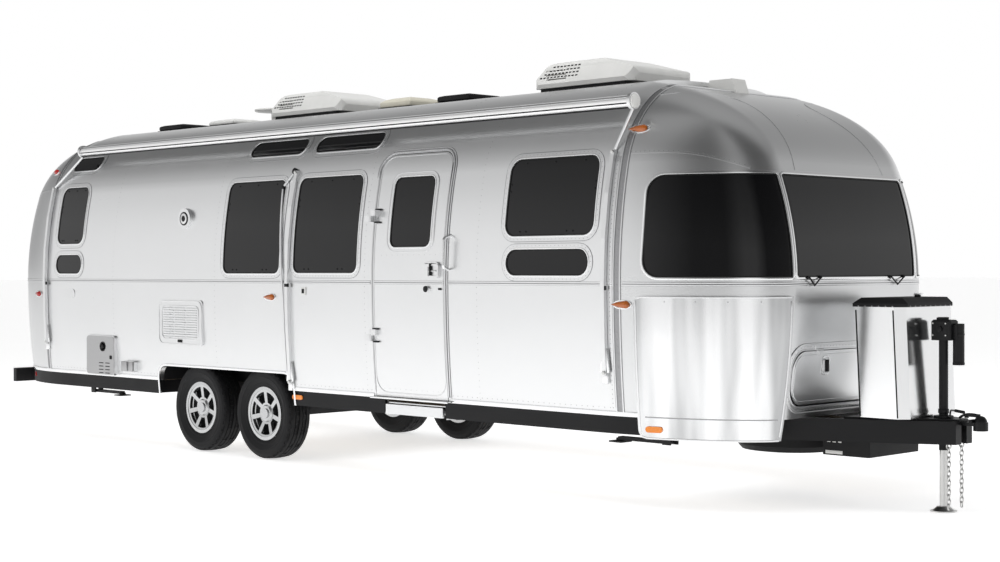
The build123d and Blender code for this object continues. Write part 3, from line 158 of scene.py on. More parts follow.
print("shader helpers ready")

# %% [markdown]
# ## The metals
# Rolled aluminium under a clear coat is never a mirror. The rolls leave fine streaks along the
# sheet, each panel is a little wavy between its rivets, and the coat hazes in patches. So the
# streaks are a noise stretched along X that moves the roughness, the haze is a soft noise in the
# colour, and one soft bump carries the wave of the panels. The polished pieces have less of it.

# %% Sheet metal finishes
def sheet_metal(name, color, rough, streak, wave):
    """A metal with streaks in its roughness and a wave of the given height."""
    made = Finish(name, Metallic=1.0)
    grain = made.noise(90.0, (0.05, 1.0, 1.4), 3.0, 0.5)
    haze = made.noise(1.7, detail=4.0)
    dark = tuple(0.95 * c for c in color)
    made.set(Base_Color=made.blend(haze, dark, color))
    made.set(Roughness=rough - streak / 2 + streak * grain + 0.05 * haze)
    made.set(Normal=made.relief(made.noise(1.3, (0.6, 0.6, 1.0), 1.0), wave))
    return made


SKIN = sheet_metal("rolled_aluminium", (0.80, 0.805, 0.81), 0.27, 0.06, 0.004)
DOME = sheet_metal("formed_aluminium", (0.72, 0.725, 0.73), 0.26, 0.015, 0.003)
POLISHED = sheet_metal("polished_aluminium", (0.88, 0.885, 0.89), 0.13, 0.04, 0.0015)
SATIN = sheet_metal("satin_extrusion", (0.80, 0.805, 0.81), 0.30, 0.08, 0.0005)
RIVET = sheet_metal("rivet_aluminium", (0.46, 0.465, 0.47), 0.28, 0.05, 0.0002)
# This darker grey is painted shade. It is laid beside beads, round window rings and along the guards'
# creases, where shade falls.
PAINTED_SHADE = sheet_metal("painted_shade_grey", (0.40, 0.40, 0.41), 0.45, 0.05, 0.0002)
PALE = sheet_metal("pale_anodised", (0.93, 0.93, 0.93), 0.36, 0.04, 0.0004)
PLATE = sheet_metal("grey_plate", (0.50, 0.50, 0.505), 0.42, 0.05, 0.0002)
SHADOWED = sheet_metal("shadowed_rivet", (0.44, 0.44, 0.445), 0.32, 0.05, 0.0002)
print("metals", SKIN.material.name, DOME.material.name, POLISHED.material.name)

# %% [markdown]
# ## The guards' metal
# A stone guard mirrors the horizon in long bands that rise along the nose. Those bands are painted
# reflection: the colour follows a noise that is stretched upward, between a darker and a brighter grey.

# %% Guard finish
PAINTED_DARK_REFLECTION, PAINTED_BRIGHT_REFLECTION = (0.44, 0.445, 0.45), (0.88, 0.885, 0.89)
GUARD = sheet_metal("polished_guard", PAINTED_BRIGHT_REFLECTION, 0.12, 0.03, 0.0022)
bands = GUARD.noise(5.0, (1.0, 1.0, 0.03), 2.0)
GUARD.set(Base_Color=GUARD.node("ValToRGB", {"stops": ((0.38, PAINTED_DARK_REFLECTION), (0.62, PAINTED_BRIGHT_REFLECTION))}, Fac=bands))
print("guard finish", GUARD.material.name)

# %% [markdown]
# ## Paint, plastic and rubber
# The chassis is brushed with black paint that shows a faint orange peel, so it gets a fine bump
# and a roughness that wanders. Mouldings and rubber have the same grain in other sizes.

# %% Painted and moulded finishes
def painted(name, color, rough, peel=0.0003, size=220.0, coat=0.0):
    """A dull finish whose grain has a height (peel) and a fineness (size)."""
    made = Finish(name, Metallic=0.0, Coat_Weight=coat, Specular_IOR_Level=0.28)
    cloud = made.noise(6.0, detail=5.0)
    grain = made.noise(size, detail=2.0)
    low = tuple(0.82 * c for c in color)
    made.set(Base_Color=made.blend(cloud, low, color), Roughness=rough - 0.05 + 0.12 * cloud)
    made.set(Normal=made.relief(grain, peel, 0.6))
    return made


CHASSIS = painted("chassis_black", (0.006, 0.006, 0.007), 0.42)
MOULDED = painted("moulded_black", (0.008, 0.008, 0.009), 0.55, 0.0004, 320.0)
WHITE = painted("white_moulding", (0.84, 0.84, 0.82), 0.34, 0.0002, 160.0, 0.15)
CREAM = painted("cream_moulding", (0.72, 0.69, 0.58), 0.42, 0.0002, 160.0)
BOARD = painted("floor_board", (0.42, 0.33, 0.22), 0.6)
ENAMEL = painted("white_enamel", (0.8, 0.8, 0.8), 0.3, 0.0001, 90.0, 0.3)
RUBBER = painted("tyre_rubber", (0.008, 0.008, 0.009), 0.62, 0.0006, 240.0)
GASKET = painted("window_gasket", (0.006, 0.006, 0.006), 0.5, 0.0002, 400.0)
print("finishes", len(bpy.data.materials))

# %% [markdown]
# ## Lenses, zinc, cast metal and glass
# A lens is moulded with fine flutes, here a wave as a bump. The window glass is so dark that nothing
# inside shows: it is a near black, smooth surface, and its look comes from what it reflects.

# %% Lenses and glass
AMBER = Finish("amber_lens", Base_Color=(0.46, 0.11, 0.008), Roughness=0.12, Coat_Weight=0.6)
ORANGE = Finish("orange_reflector", Base_Color=(0.95, 0.27, 0.012), Roughness=0.18, Coat_Weight=0.4)
RED = Finish("red_lens", Base_Color=(0.45, 0.012, 0.01), Roughness=0.12, Coat_Weight=0.6)
ZINC = sheet_metal("zinc_plated_steel", (0.66, 0.66, 0.65), 0.3, 0.1, 0.0002)
ALLOY = sheet_metal("cast_alloy", (0.54, 0.545, 0.55), 0.20, 0.04, 0.0002)
GLASS = Finish("dark_glass", Base_Color=(0.003, 0.003, 0.0035), IOR=1.5, Specular_IOR_Level=0.34)
for tinted in (AMBER, ORANGE, RED):
    flutes = tinted.node("TexWave", {"bands_direction": "X"}, Vector=tinted.place(), Scale=60.0)
    tinted.set(Normal=tinted.relief(flutes, 0.0008))
ripple = GLASS.noise(2.2, detail=1.0)
GLASS.set(Normal=GLASS.relief(ripple, 0.0007), Roughness=0.04 + 0.03 * ripple)
print("finishes", len(bpy.data.materials))

# %% [markdown]
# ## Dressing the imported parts
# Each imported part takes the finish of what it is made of: metal, paint, moulding, rubber or glass.
# The last line lists the parts that are still bare, and there are none.

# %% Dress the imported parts
def dress(finish, *nodes):
    """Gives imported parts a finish."""
    for name in nodes:
        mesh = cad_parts[name].data
        mesh.materials.clear()
        mesh.materials.append(finish.material)


dress(SKIN, "wall_curbside", "wall_streetside", "roof", "entry_door", "front_hatch", "belly_pans")
dress(DOME, "front_end", "rear_end")
dress(POLISHED, "gas_cover", "grab_handle")
dress(GUARD, "rock_guards")
dress(PALE, "awning_roller")
dress(SATIN, "window_frames", "door_trim", "door_handle", "hatch_fittings", "fixed_hinges", "awning_arms",
      "entry_step", "step_frame", "service_panels")
dress(CHASSIS, "chassis_rails", "cross_members", "tongue_frame", "axles", "coupler", "jack_body",
      "rear_bumper", "stabiliser_front_curb", "stabiliser_front_street", "stabiliser_rear_curb",
      "stabiliser_rear_street")
dress(MOULDED, "wheel_wells", "side_skirts", "gas_lid", "battery_box", "roof_unit_bases")
dress(WHITE, "air_conditioner_shrouds", "roof_vent_lids", "aerials")
dress(BOARD, "floor")
dress(ENAMEL, "gas_bottles")
dress(AMBER, "marker_lamps")
dress(RED, "rear_lamps")
dress(ZINC, "safety_chains", "jack_leg")
dress(GLASS, "side_windows", "end_windows", "door_window")
for end in ("rear", "front"):
    for side in ("curb", "street"):
        dress(RUBBER, f"tyre_{end}_{side}")
        dress(ALLOY, f"rim_{end}_{side}")
dress(RUBBER, "spare_wheel")
bare = [name for name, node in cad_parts.items() if not node.data.materials]
print("nodes without a finish", bare)

# %% [markdown]
# ## The body's form, as numbers
# The body is one profile of arcs drawn along X, and each end is a quarter turn of that profile,
# stretched along X. Seams and rivets lie on this form, so the same arcs are written here. From the
# floor up they are the lower side, the upper side, the shoulder and the crown of the roof.

# %% The profile's arcs
HALF, BELT, SIDE_TOP, CORNER_Y, STRETCH = 1.290, 1.458, 2.250, 0.657, 1.209 / 0.633
LOWER_R, UPPER_R, SHOULDER_R, CROWN_R = 9.5, 3.717, 0.772, 9.0
FRONT_AXIS, REAR_AXIS = 2.921, -3.821
turn_up = asin((SIDE_TOP - BELT) / UPPER_R)
SHOULDER_Y = HALF - UPPER_R + (UPPER_R - SHOULDER_R) * cos(turn_up)
SHOULDER_Z = BELT + (UPPER_R - SHOULDER_R) * sin(turn_up)
CROWN_CENTRE = SHOULDER_Z - sqrt((CROWN_R - SHOULDER_R) ** 2 - SHOULDER_Y ** 2)
CROWN_START = atan2(SHOULDER_Z - CROWN_CENTRE, SHOULDER_Y)
ROOF_JOIN_Z = SHOULDER_Z + SHOULDER_R * sin(CROWN_START)
ROOF_TOP = CROWN_CENTRE + CROWN_R


def half_width(z):
    """Half the body's width at a height."""
    if z < BELT:
        return HALF - LOWER_R + sqrt(LOWER_R ** 2 - (BELT - z) ** 2)
    if z < SIDE_TOP:
        return HALF - UPPER_R + sqrt(UPPER_R ** 2 - (z - BELT) ** 2)
    if z < ROOF_JOIN_Z:
        return SHOULDER_Y + sqrt(SHOULDER_R ** 2 - (z - SHOULDER_Z) ** 2)
    return sqrt(max(CROWN_R ** 2 - (z - CROWN_CENTRE) ** 2, 0.0))


def roof_height(y):
    """The roof's height at a distance from the middle."""
    y = abs(y)
    if y < CROWN_R * cos(CROWN_START):
        return CROWN_CENTRE + sqrt(CROWN_R ** 2 - y ** 2)
    return SHOULDER_Z + sqrt(SHOULDER_R ** 2 - (y - SHOULDER_Y) ** 2)


print("roof top", round(ROOF_TOP, 4), "half width at the belt", half_width(BELT))

# %% [markdown]
# ## Places on the form
# A workshop marks its rivet lines on the sheet itself. Here skin() gives a place on the side,
# nose() a place on an end, and outward() the way that the sheet faces there, so that a trim can be
# laid down on it and stand up from it.

# %% Places on the form
def over_end(x):
    """How far a place lies past the straight part, as the profile measures it, and which way."""
    if x > FRONT_AXIS:
        return (x - FRONT_AXIS) / STRETCH, 1.0
    if x < REAR_AXIS:
        return (REAR_AXIS - x) / STRETCH, -1.0
    return 0.0, 0.0


def skin(x, z, side):
    """A place on the side of the body. side is -1 on the curb side and 1 on the street side."""
    over = over_end(x)[0]
    if over == 0.0:
        return Vector((x, side * half_width(z), z))
    return Vector((x, side * (CORNER_Y + sqrt(max((half_width(z) - CORNER_Y) ** 2 - over ** 2, 0.0))), z))


def nose(y, z, end=1.0):
    """A place on the front of the body, or on its rear where end is -1."""
    past = max(abs(y) - CORNER_Y, 0.0)
    reach = STRETCH * sqrt(max((half_width(z) - CORNER_Y) ** 2 - past ** 2, 0.0))
    return Vector((FRONT_AXIS + reach if end > 0 else REAR_AXIS - reach, y, z))


def outward(p):
    """The direction that the skin faces at a place on it."""
    over, way = over_end(p.x)
    side = -1.0 if p.y < 0 else 1.0
    z = p.z
    past = max(abs(p.y) - CORNER_Y, 0.0) if over else abs(p.y) - CORNER_Y
    reach = hypot(over, past) if over else past
    y = reach + CORNER_Y
    if z < BELT:
        flat = Vector((y - HALF + LOWER_R, z - BELT))
    elif z < SIDE_TOP:
        flat = Vector((y - HALF + UPPER_R, z - BELT))
    elif z < ROOF_JOIN_Z:
        flat = Vector((y - SHOULDER_Y, z - SHOULDER_Z))
    else:
        flat = Vector((y, z - CROWN_CENTRE))
    flat.normalize()
    if over == 0.0 or reach < 1e-6:
        return Vector((0.0, side * flat.x, flat.y)).normalized()
    turned = Vector((flat.x * over / reach / STRETCH * way, flat.x * past / reach * side, flat.y))
    return turned.normalized()


CURB_WAY = Vector((0.0, -1.0, 0.0))
print("nose at the belt", nose(0.0, BELT)[:], "faces", outward(nose(0.0, BELT))[:])

# %% [markdown]
# ## Lines on the form
# Trims follow a few kinds of line: a hoop over the roof, a level line round an end, a level line
# round one front corner, and quarter turns. They start with many points, and even() spaces them.

# %% Lines on the form
HOOP_SIDE_TOP = 2.78


def hoop(x, low=0.592):
    """A line up one side, over the roof and down the other, at a place along the body."""
    over = over_end(x)[0]
    high = ROOF_TOP
    if over:
        high, above = BELT, ROOF_TOP
        for _ in range(50):
            middle = (high + above) / 2
            high, above = (middle, above) if half_width(middle) - CORNER_Y > over else (high, middle)
    stop = min(high, HOOP_SIDE_TOP)
    points = [skin(x, low + (stop - low) * k / 80, -1.0) for k in range(81)]
    y_end = -points[-1].y
    for k in range(1, 30):
        y = y_end * (1 - 2 * k / 30)
        if over:
            inside = over if abs(y) < CORNER_Y else hypot(over, abs(y) - CORNER_Y)
            points.append(Vector((x, -y, roof_height(inside + CORNER_Y))))
        else:
            points.append(Vector((x, -y, roof_height(y))))
    points += [Vector((p.x, -p.y, p.z)) for p in reversed(points[:81])]
    return points


def round_end(z, x, end=1.0, steps=60):
    """A line at one height round an end, from x on the curb side to x on the street side."""
    reach = half_width(z) - CORNER_Y
    axis = FRONT_AXIS if end > 0 else REAR_AXIS
    stop = acos(abs(x - axis) / STRETCH / reach)
    corner = [(axis + end * STRETCH * reach * cos(stop * (1 - k / steps)),
               CORNER_Y + reach * sin(stop * (1 - k / steps))) for k in range(steps + 1)]
    curb = [Vector((px, -py, z)) for px, py in corner]
    street = [Vector((px, py, z)) for px, py in reversed(corner)]
    return curb + street


def corner_row(z, rear_x, front_y, side):
    """A level line round a front corner, from rear_x along the body to front_y from its middle."""
    reach = half_width(z) - CORNER_Y
    first = asin((rear_x - FRONT_AXIS) / STRETCH / reach)
    last = acos((front_y - CORNER_Y) / reach)
    turns = [first + (last - first) * k / 60 for k in range(61)]
    return [Vector((FRONT_AXIS + STRETCH * reach * sin(turn), side * (CORNER_Y + reach * cos(turn)), z))
            for turn in turns]


def quarter(u, v, radius, start, sweep, steps):
    """Flat points round a quarter circle, from start degrees on."""
    turns = [radians(start + sweep * k / steps) for k in range(steps + 1)]
    return [(u + radius * cos(turn), v + radius * sin(turn)) for turn in turns]


def even(points, step, closed=False):
    """The same line with its points a step apart."""
    loop = points + [points[0]] if closed else points
    lengths = [(b - a).length for a, b in zip(loop, loop[1:])]
    total = sum(lengths)
    count = max(int(round(total / step)), 1)
    made = []
    at, done = 0, 0.0
    for k in range(count if closed else count + 1):
        goal = total * k / count
        while at < len(lengths) - 1 and done + lengths[at] < goal:
            done += lengths[at]
            at += 1
        share = (goal - done) / max(lengths[at], 1e-9)
        made.append(loop[at].lerp(loop[at + 1], min(max(share, 0.0), 1.0)))
    return made


def side_line(z, x0, x1, side, step=0.08):
    """A level line along a side."""
    return even([skin(x0 + (x1 - x0) * k / 200, z, side) for k in range(201)], step)


def up_line(x, z0, z1, side, step=0.05):
    """A line up a side."""
    return even([skin(x, z0 + (z1 - z0) * k / 100, side) for k in range(101)], step)


def rounded(u0, u1, v0, v1, radius, place, step=0.03):
    """A rounded rectangle. place turns each (u, v) into a point on the skin."""
    flat = []
    for u, v, start in ((u1 - radius, v1 - radius, 0.0), (u0 + radius, v1 - radius, 90.0),
                        (u0 + radius, v0 + radius, 180.0), (u1 - radius, v0 + radius, 270.0)):
        flat += quarter(u, v, radius, start, 90.0, 8)
    dense = []
    for (ua, va), (ub, vb) in zip(flat, flat[1:] + flat[:1]):
        pieces = max(int(hypot(ub - ua, vb - va) / 0.01), 1)
        dense += [place(ua + (ub - ua) * j / pieces, va + (vb - va) * j / pieces) for j in range(pieces)]
    return even(dense, step, closed=True)


print("a hoop has", len(hoop(0.0)), "points")

# %% [markdown]
# ## Handling a piece
# Every piece ends in the same way: its modifiers are applied, it is joined with its fellows, and it gets a
# finish and the body that it rides on.

# %% Selecting, joining and settling
def alone(made):
    """Selects one object only."""
    bpy.ops.object.select_all(action="DESELECT")
    made.select_set(True)
    bpy.context.view_layer.objects.active = made


def settle(made, finish, body="trailer", smooth=35.0):
    """Gives a finished piece its place, finish and body."""
    alone(made)
    bpy.ops.object.transform_apply(location=True, rotation=True, scale=True)
    made.data.materials.clear()
    made.data.materials.append(finish.material)
    bpy.ops.object.shade_smooth_by_angle(angle=radians(smooth))
    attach(made, body)
    return made


def apply_all(made):
    """Applies the modifiers of one object."""
    alone(made)
    for modifier in list(made.modifiers):
        bpy.ops.object.modifier_apply(modifier=modifier.name)


def join(name, pieces):
    """One object from several."""
    bpy.ops.object.select_all(action="DESELECT")
    for piece in pieces:
        piece.select_set(True)
    bpy.context.view_layer.objects.active = pieces[0]
    if len(pieces) > 1:
        bpy.ops.object.join()
    pieces[0].name = name
    return pieces[0]


print("handling helpers ready")

# %% [markdown]
# ## Beads and strips
# Every long trim on such a body is an extrusion screwed along the skin. By hand it starts as a
# flat grid: one row of faces along the line, laid on the skin point by point, then given its
# height with Solidify and its worn edges with Bevel. One helper does that for all of them. A strip
# is sunk a little into the skin, so that no light passes under it.

# %% Strips on the skin
SUNK = 0.0008


def neighbours(points, k, closed):
    """The points before and after one point of a line."""
    count = len(points)
    if closed:
        return points[(k - 1) % count], points[(k + 1) % count]
    return points[max(k - 1, 0)], points[min(k + 1, count - 1)]


def strip(points, width, height, lift=0.0, closed=False, bevel=0.0012, facing=outward):
    """A strip along a line. facing gives the direction that it stands up in."""
    count = len(points)
    spans = count if closed else count - 1
    bpy.ops.object.select_all(action="DESELECT")
    bpy.ops.mesh.primitive_grid_add(x_subdivisions=spans, y_subdivisions=1, size=1.0)
    made = bpy.context.object
    for vertex in made.data.vertices:
        k = int(round((vertex.co.x + 0.5) * spans)) % count
        before, after = neighbours(points, k, closed)
        normal = facing(points[k])
        across = normal.cross(after - before).normalized()
        vertex.co = points[k] + across * (vertex.co.y * width) + normal * (lift - SUNK)
    if closed:
        bpy.ops.object.mode_set(mode="EDIT")
        bpy.ops.mesh.select_all(action="SELECT")
        bpy.ops.mesh.remove_doubles(threshold=1e-5)
        bpy.ops.object.mode_set(mode="OBJECT")
    thick = made.modifiers.new("height", "SOLIDIFY")
    thick.thickness = height + SUNK
    thick.offset = 1.0
    if bevel:
        edge = made.modifiers.new("edge", "BEVEL")
        edge.width = min(bevel, height * 0.45, width * 0.3)
        edge.segments = 2
        edge.angle_limit = radians(50)
    apply_all(made)
    return made


def trim(name, lines, finish, width, height, body="trailer", slot="satin_aluminium", **rest):
    """Strips along several lines, joined in one piece."""
    made = join(name, [strip(points, width, height, **rest) for points in lines])
    return settle(made, finish, body)


print("strips sink", SUNK, "into the skin")

# %% [markdown]
# ## A bead and the line beside it
# Each bead throws a thin line of shade on both sides, and that shade is painted here. The beads stand on a
# flat base strip in a darker grey, and the edges of that strip are the painted shade lines.

# %% Beads on a shaded base
BASE_HEIGHT = 0.0012


def offset_line(points, across, closed=False):
    """The line moved sideways on the skin."""
    moved = []
    for k, point in enumerate(points):
        before, after = neighbours(points, k, closed)
        moved.append(point + outward(point).cross(after - before).normalized() * across)
    return moved


def shaded(name, lines, width, ribs, body="trailer", closed=False):
    """Beads on a darker base strip, whose grey is painted shade. ribs are (offset across, width, height).
    """
    trim(name + "_base", lines, PAINTED_SHADE, width, BASE_HEIGHT, body, closed=closed, bevel=0.0)
    beads = [strip(offset_line(line, across, closed), wide, tall, closed=closed)
             for line in lines for across, wide, tall in ribs]
    return settle(join(name, beads), SATIN, body)


print("a bead's base is", BASE_HEIGHT, "high")

# %% [markdown]
# ## Rivets
# A rivet is one dome of a few faces, made once: a small sphere, cut in half and flattened. The
# skin holds thousands, so each row is a copy of that mesh at every place, joined as one piece.

# %% The rivet and its rows
RIVET_RADIUS, RIVET_FLATTENED, RIVET_SUNK = 0.0034, 0.62, 0.0003
bpy.ops.object.select_all(action="DESELECT")
bpy.ops.mesh.primitive_uv_sphere_add(segments=8, ring_count=6, radius=RIVET_RADIUS)
dome = bpy.context.object
bpy.ops.object.mode_set(mode="EDIT")
bpy.ops.mesh.select_all(action="SELECT")
bpy.ops.mesh.bisect(plane_co=(0, 0, 0.0001), plane_no=(0, 0, 1), clear_inner=True, use_fill=True)
bpy.ops.mesh.select_all(action="SELECT")
bpy.ops.transform.resize(value=(1.0, 1.0, RIVET_FLATTENED))
bpy.ops.object.mode_set(mode="OBJECT")
DOME_POINTS = [vertex.co.copy() for vertex in dome.data.vertices]
DOME_FACES = [tuple(face.vertices) for face in dome.data.polygons]
bpy.data.objects.remove(dome)


def rivets(name, rows, body="trailer", size=1.0, facing=outward, lift=0.0, finish=RIVET):
    """A dome at every point of the rows. Each dome is a copy of the one that was modelled."""
    points, faces = [], []
    for place in [place for row in rows for place in row]:
        normal = facing(place)
        turn = normal.to_track_quat("Z", "Y")
        start = len(points)
        points += [place + normal * (lift - RIVET_SUNK) + turn @ (co * size) for co in DOME_POINTS]
        faces += [tuple(start + index for index in face) for face in DOME_FACES]
    mesh = bpy.data.meshes.new(name)
    mesh.from_pydata(points, [], faces)
    made = bpy.data.objects.new(name, mesh)
    bpy.context.scene.collection.objects.link(made)
    settle(made, finish, body, smooth=60.0)
    print(name, "rivets", len(points) // len(DOME_POINTS))
    return made


print("a rivet has", len(DOME_FACES), "faces")

# %% [markdown]
# ## The belt
# A double bead runs round the body at its widest line and hides the joint of the upper and lower
# sheets. It is an extrusion on the real body. It stops at the door, and the door carries its own
# length of it.

# %% Belt beads
FRONT_SEAM, REAR_SEAM = 3.130, -4.030
DOOR_REAR, DOOR_FRONT = 0.707, 1.500
BELT_LINE, BELT_WIDTH = 1.452, 0.028
BELT_RIBS = ((-0.0075, 0.009, 0.0045), (0.0075, 0.009, 0.0045))
belt = [side_line(BELT_LINE, REAR_SEAM + 0.03, DOOR_REAR - 0.022, -1.0),
        side_line(BELT_LINE, DOOR_FRONT + 0.040, FRONT_SEAM - 0.03, -1.0),
        side_line(BELT_LINE, REAR_SEAM + 0.03, FRONT_SEAM - 0.03, 1.0),
        even(round_end(BELT_LINE, FRONT_SEAM + 0.04), 0.05),
        even(round_end(BELT_LINE, REAR_SEAM - 0.04, -1.0), 0.05)]
shaded("belt_beads", belt, BELT_WIDTH, BELT_RIBS)
door_belt = side_line(BELT_LINE, DOOR_REAR + 0.012, DOOR_FRONT - 0.012, -1.0)
shaded("door_belt_beads", [door_belt], BELT_WIDTH, BELT_RIBS, body="entry_door")
print("belt lines", len(belt) + 1)

# %% [markdown]
# ## The hoops
# A wide band with two raised edges and a row of rivets closes the joint of each formed end with the
# sides. It is one line from skirt to skirt over the roof.

# %% Hoops
HOOP_WIDTH = 0.064
HOOP_RIBS = ((-0.026, 0.009, 0.007), (0.026, 0.009, 0.007))
for name, x in (("front_hoop", FRONT_SEAM), ("rear_hoop", REAR_SEAM)):
    # The wide band between the beads is the darker base strip, so the band's grey is painted shade.
    shaded(name, [even(hoop(x), 0.05)], HOOP_WIDTH, HOOP_RIBS)
    rivets(name + "_rivets", [even(hoop(x), 0.045)], lift=0.0022)

# %% [markdown]
# ## The bottom rail
# A bright rail closes the body above the black skirt, with a row of rivets over it. Both stop at
# the wheel openings and at the door.

# %% Rails
RAIL_LINE, RAIL_RIVETS, RAIL_FRONT = 0.603, 0.640, FRONT_AXIS + 0.35
ARCH_REAR, ARCH_FRONT, ARCH_TOP = -2.177, -0.288, 0.721
rails = [side_line(RAIL_LINE, REAR_SEAM, ARCH_REAR - 0.01, side) for side in (-1.0, 1.0)]
rails += [side_line(RAIL_LINE, ARCH_FRONT + 0.01, DOOR_REAR - 0.02, -1.0),
          side_line(RAIL_LINE, DOOR_FRONT + 0.02, RAIL_FRONT, -1.0),
          side_line(RAIL_LINE, ARCH_FRONT + 0.01, RAIL_FRONT, 1.0),
          even(round_end(RAIL_LINE, REAR_SEAM, -1.0), 0.06)]
trim("bottom_rail", rails, POLISHED, 0.032, 0.007, bevel=0.002)
rivets("rail_rivets", [side_line(RAIL_RIVETS, REAR_SEAM + 0.05, ARCH_REAR - 0.03, -1.0, 0.05),
                       side_line(RAIL_RIVETS, ARCH_FRONT + 0.04, DOOR_REAR - 0.05, -1.0, 0.05),
                       side_line(RAIL_RIVETS, DOOR_FRONT + 0.05, 3.05, -1.0, 0.05),
                       side_line(RAIL_RIVETS, REAR_SEAM + 0.05, ARCH_REAR - 0.03, 1.0, 0.05),
                       side_line(RAIL_RIVETS, ARCH_FRONT + 0.04, 3.05, 1.0, 0.05)])

# %% [markdown]
# ## The lips of the wheel openings
# A bright lip folds round each wheel opening. Its line goes up, over and down with two quarter
# turns, and it goes on to the skirt's lower edge.

# %% Wheel arches
SKIRT_FOOT, ARCH_RADIUS = 0.470, 0.110


def arch_line(side, grow=0.006):
    """The line round a wheel opening, a little larger than the opening itself."""
    x0, x1, top, r = ARCH_REAR - grow, ARCH_FRONT + grow, ARCH_TOP + grow, ARCH_RADIUS + grow
    flat = [(x0, SKIRT_FOOT)]
    flat += quarter(x0 + r, top - r, r, 180.0, -90.0, 8)
    flat += quarter(x1 - r, top - r, r, 90.0, -90.0, 8)
    flat += [(x1, SKIRT_FOOT)]
    return even([skin(x, z, side) for x, z in flat], 0.04)


trim("wheel_arch_lips", [arch_line(-1.0), arch_line(1.0)], POLISHED, 0.020, 0.012, bevel=0.003)
print("arch line points", len(arch_line(-1.0)))

# %% [markdown]
# ## Seams of the sheets
# The sides are a few long sheets, joined under a row of rivets, and a seam runs along them under
# the roof. The roof is riveted to its ribs. The rows follow the sheets' edges, and they stop short
# under the narrow roof windows.

# %% Sheet seams
ROOF_SEAM, SEAM_FOOT, BELT_UNDER, BELT_OVER, WINDOW_BAND, SEAM_HEAD = 2.640, 0.630, 1.42, 1.49, 2.44, 2.60
CURB_SEAMS, STREET_SEAMS = (-2.86, -1.31, 0.615, 1.83), (-2.86, -1.31, 0.78, 1.83)
seam_rows, seam_lines = [], []
for side, places in ((-1.0, CURB_SEAMS), (1.0, STREET_SEAMS)):
    seam_rows.append(side_line(ROOF_SEAM + 0.016, REAR_SEAM + 0.06, FRONT_SEAM - 0.06, side, 0.05))
    seam_rows.append(side_line(ROOF_SEAM - 0.014, REAR_SEAM + 0.06, FRONT_SEAM - 0.06, side, 0.05))
    seam_lines.append(side_line(ROOF_SEAM, REAR_SEAM + 0.04, FRONT_SEAM - 0.04, side, 0.12))
    for x in places:
        low = ARCH_TOP + 0.05 if ARCH_REAR < x < ARCH_FRONT else SEAM_FOOT
        high = WINDOW_BAND if -1.2 < x < 0.7 else SEAM_HEAD
        seam_rows.append(up_line(x, low, BELT_UNDER, side, 0.045))
        seam_rows.append(up_line(x, BELT_OVER, high, side, 0.045))
rivets("side_seam_rivets", seam_rows, size=0.85)
ROOF_RIBS, ROOF_RIB_STEP = 10, 0.716
roof_rows = []
for k in range(ROOF_RIBS):
    x = REAR_SEAM + ROOF_RIB_STEP * k + 0.36
    roof_rows.append(even([Vector((x, y / 20.0, roof_height(y / 20.0))) for y in range(-19, 20)], 0.055))
rivets("roof_rib_rivets", roof_rows, size=0.85)
trim("roof_seam_edges", seam_lines, SKIN, 0.004, 0.0016, bevel=0.0)

# %% [markdown]
# ## Petals
# Each end is made of formed petals that overlap by a few millimetres: the edge throws a fine dark
# line with rivets above it. A petal's edge is a thin strip here, because the step is what catches
# the light. A few places lead a smooth curve, and the curve is then dropped onto the form.

# %% Petal edges
LOW_PETAL = ((3.165, -1.182, 2.305), (3.400, -1.125, 2.305), (3.572, -1.070, 2.298),
             (3.750, -0.989, 2.255), (3.904, -0.879, 2.189))
TOP_PETAL = ((3.150, -0.860, 2.708), (3.271, -0.799, 2.721), (3.321, -0.488, 2.736), (3.488, -0.377, 2.671),
             (3.730, -0.426, 2.531), (3.882, -0.471, 2.389), (3.992, -0.516, 2.187))
SIDE_OF_PETAL = 0.70


def drop(p):
    """Moves a point onto the form in short steps, along the direction that the form faces."""
    for _ in range(6):
        over = over_end(p.x)[0]
        past = max(abs(p.y) - CORNER_Y, 0.0)
        miss = half_width(p.z) - CORNER_Y - hypot(over, past)
        p = p + outward(p) * miss * 0.8
    return p


def petal(points, end=1.0, side=-1.0):
    """A smooth line led by the places of a petal's edge, for any of the four corners."""
    curve = bpy.data.curves.new("petal", "CURVE")
    curve.dimensions = "3D"
    spline = curve.splines.new("NURBS")
    spline.points.add(len(points) - 1)
    for point, place in zip(spline.points, points):
        point.co = (*place, 1.0)
    spline.order_u = 4
    spline.use_endpoint_u = True
    holder = bpy.data.objects.new("petal", curve)
    mesh = bpy.data.meshes.new_from_object(holder)
    line = [vertex.co.copy() for vertex in mesh.vertices]
    bpy.data.objects.remove(holder)
    placed = []
    for p in line:
        x = p.x if end > 0 else REAR_AXIS - (p.x - FRONT_AXIS)
        y = side * abs(p.y)
        seat = skin(x, p.z, side)
        placed.append(seat if abs(seat.y) > CORNER_Y and abs(y) > SIDE_OF_PETAL else Vector((x, y, p.z)))
    return [drop(p) for p in placed]


petal_lines, petal_rows = [], []
for end in (1.0, -1.0):
    for side in (-1.0, 1.0):
        for points in (LOW_PETAL, TOP_PETAL):
            line = petal(points, end, side)
            petal_lines.append(even(line, 0.04))
            petal_rows.append(even([drop(p + Vector((0.0, 0.0, 0.012))) for p in line], 0.034))
trim("petal_edges", petal_lines, DOME, 0.006, 0.0022, bevel=0.0)
rivets("petal_rivets", petal_rows)

# %% [markdown]
# ## Window trims
# Each pane sits in a flat ring that is riveted to the skin. A thin bright lip stands at the ring's
# inner edge, a black gasket lies between lip and glass, and the pane shows the heads of the screws
# that hold its hinge and its arms.

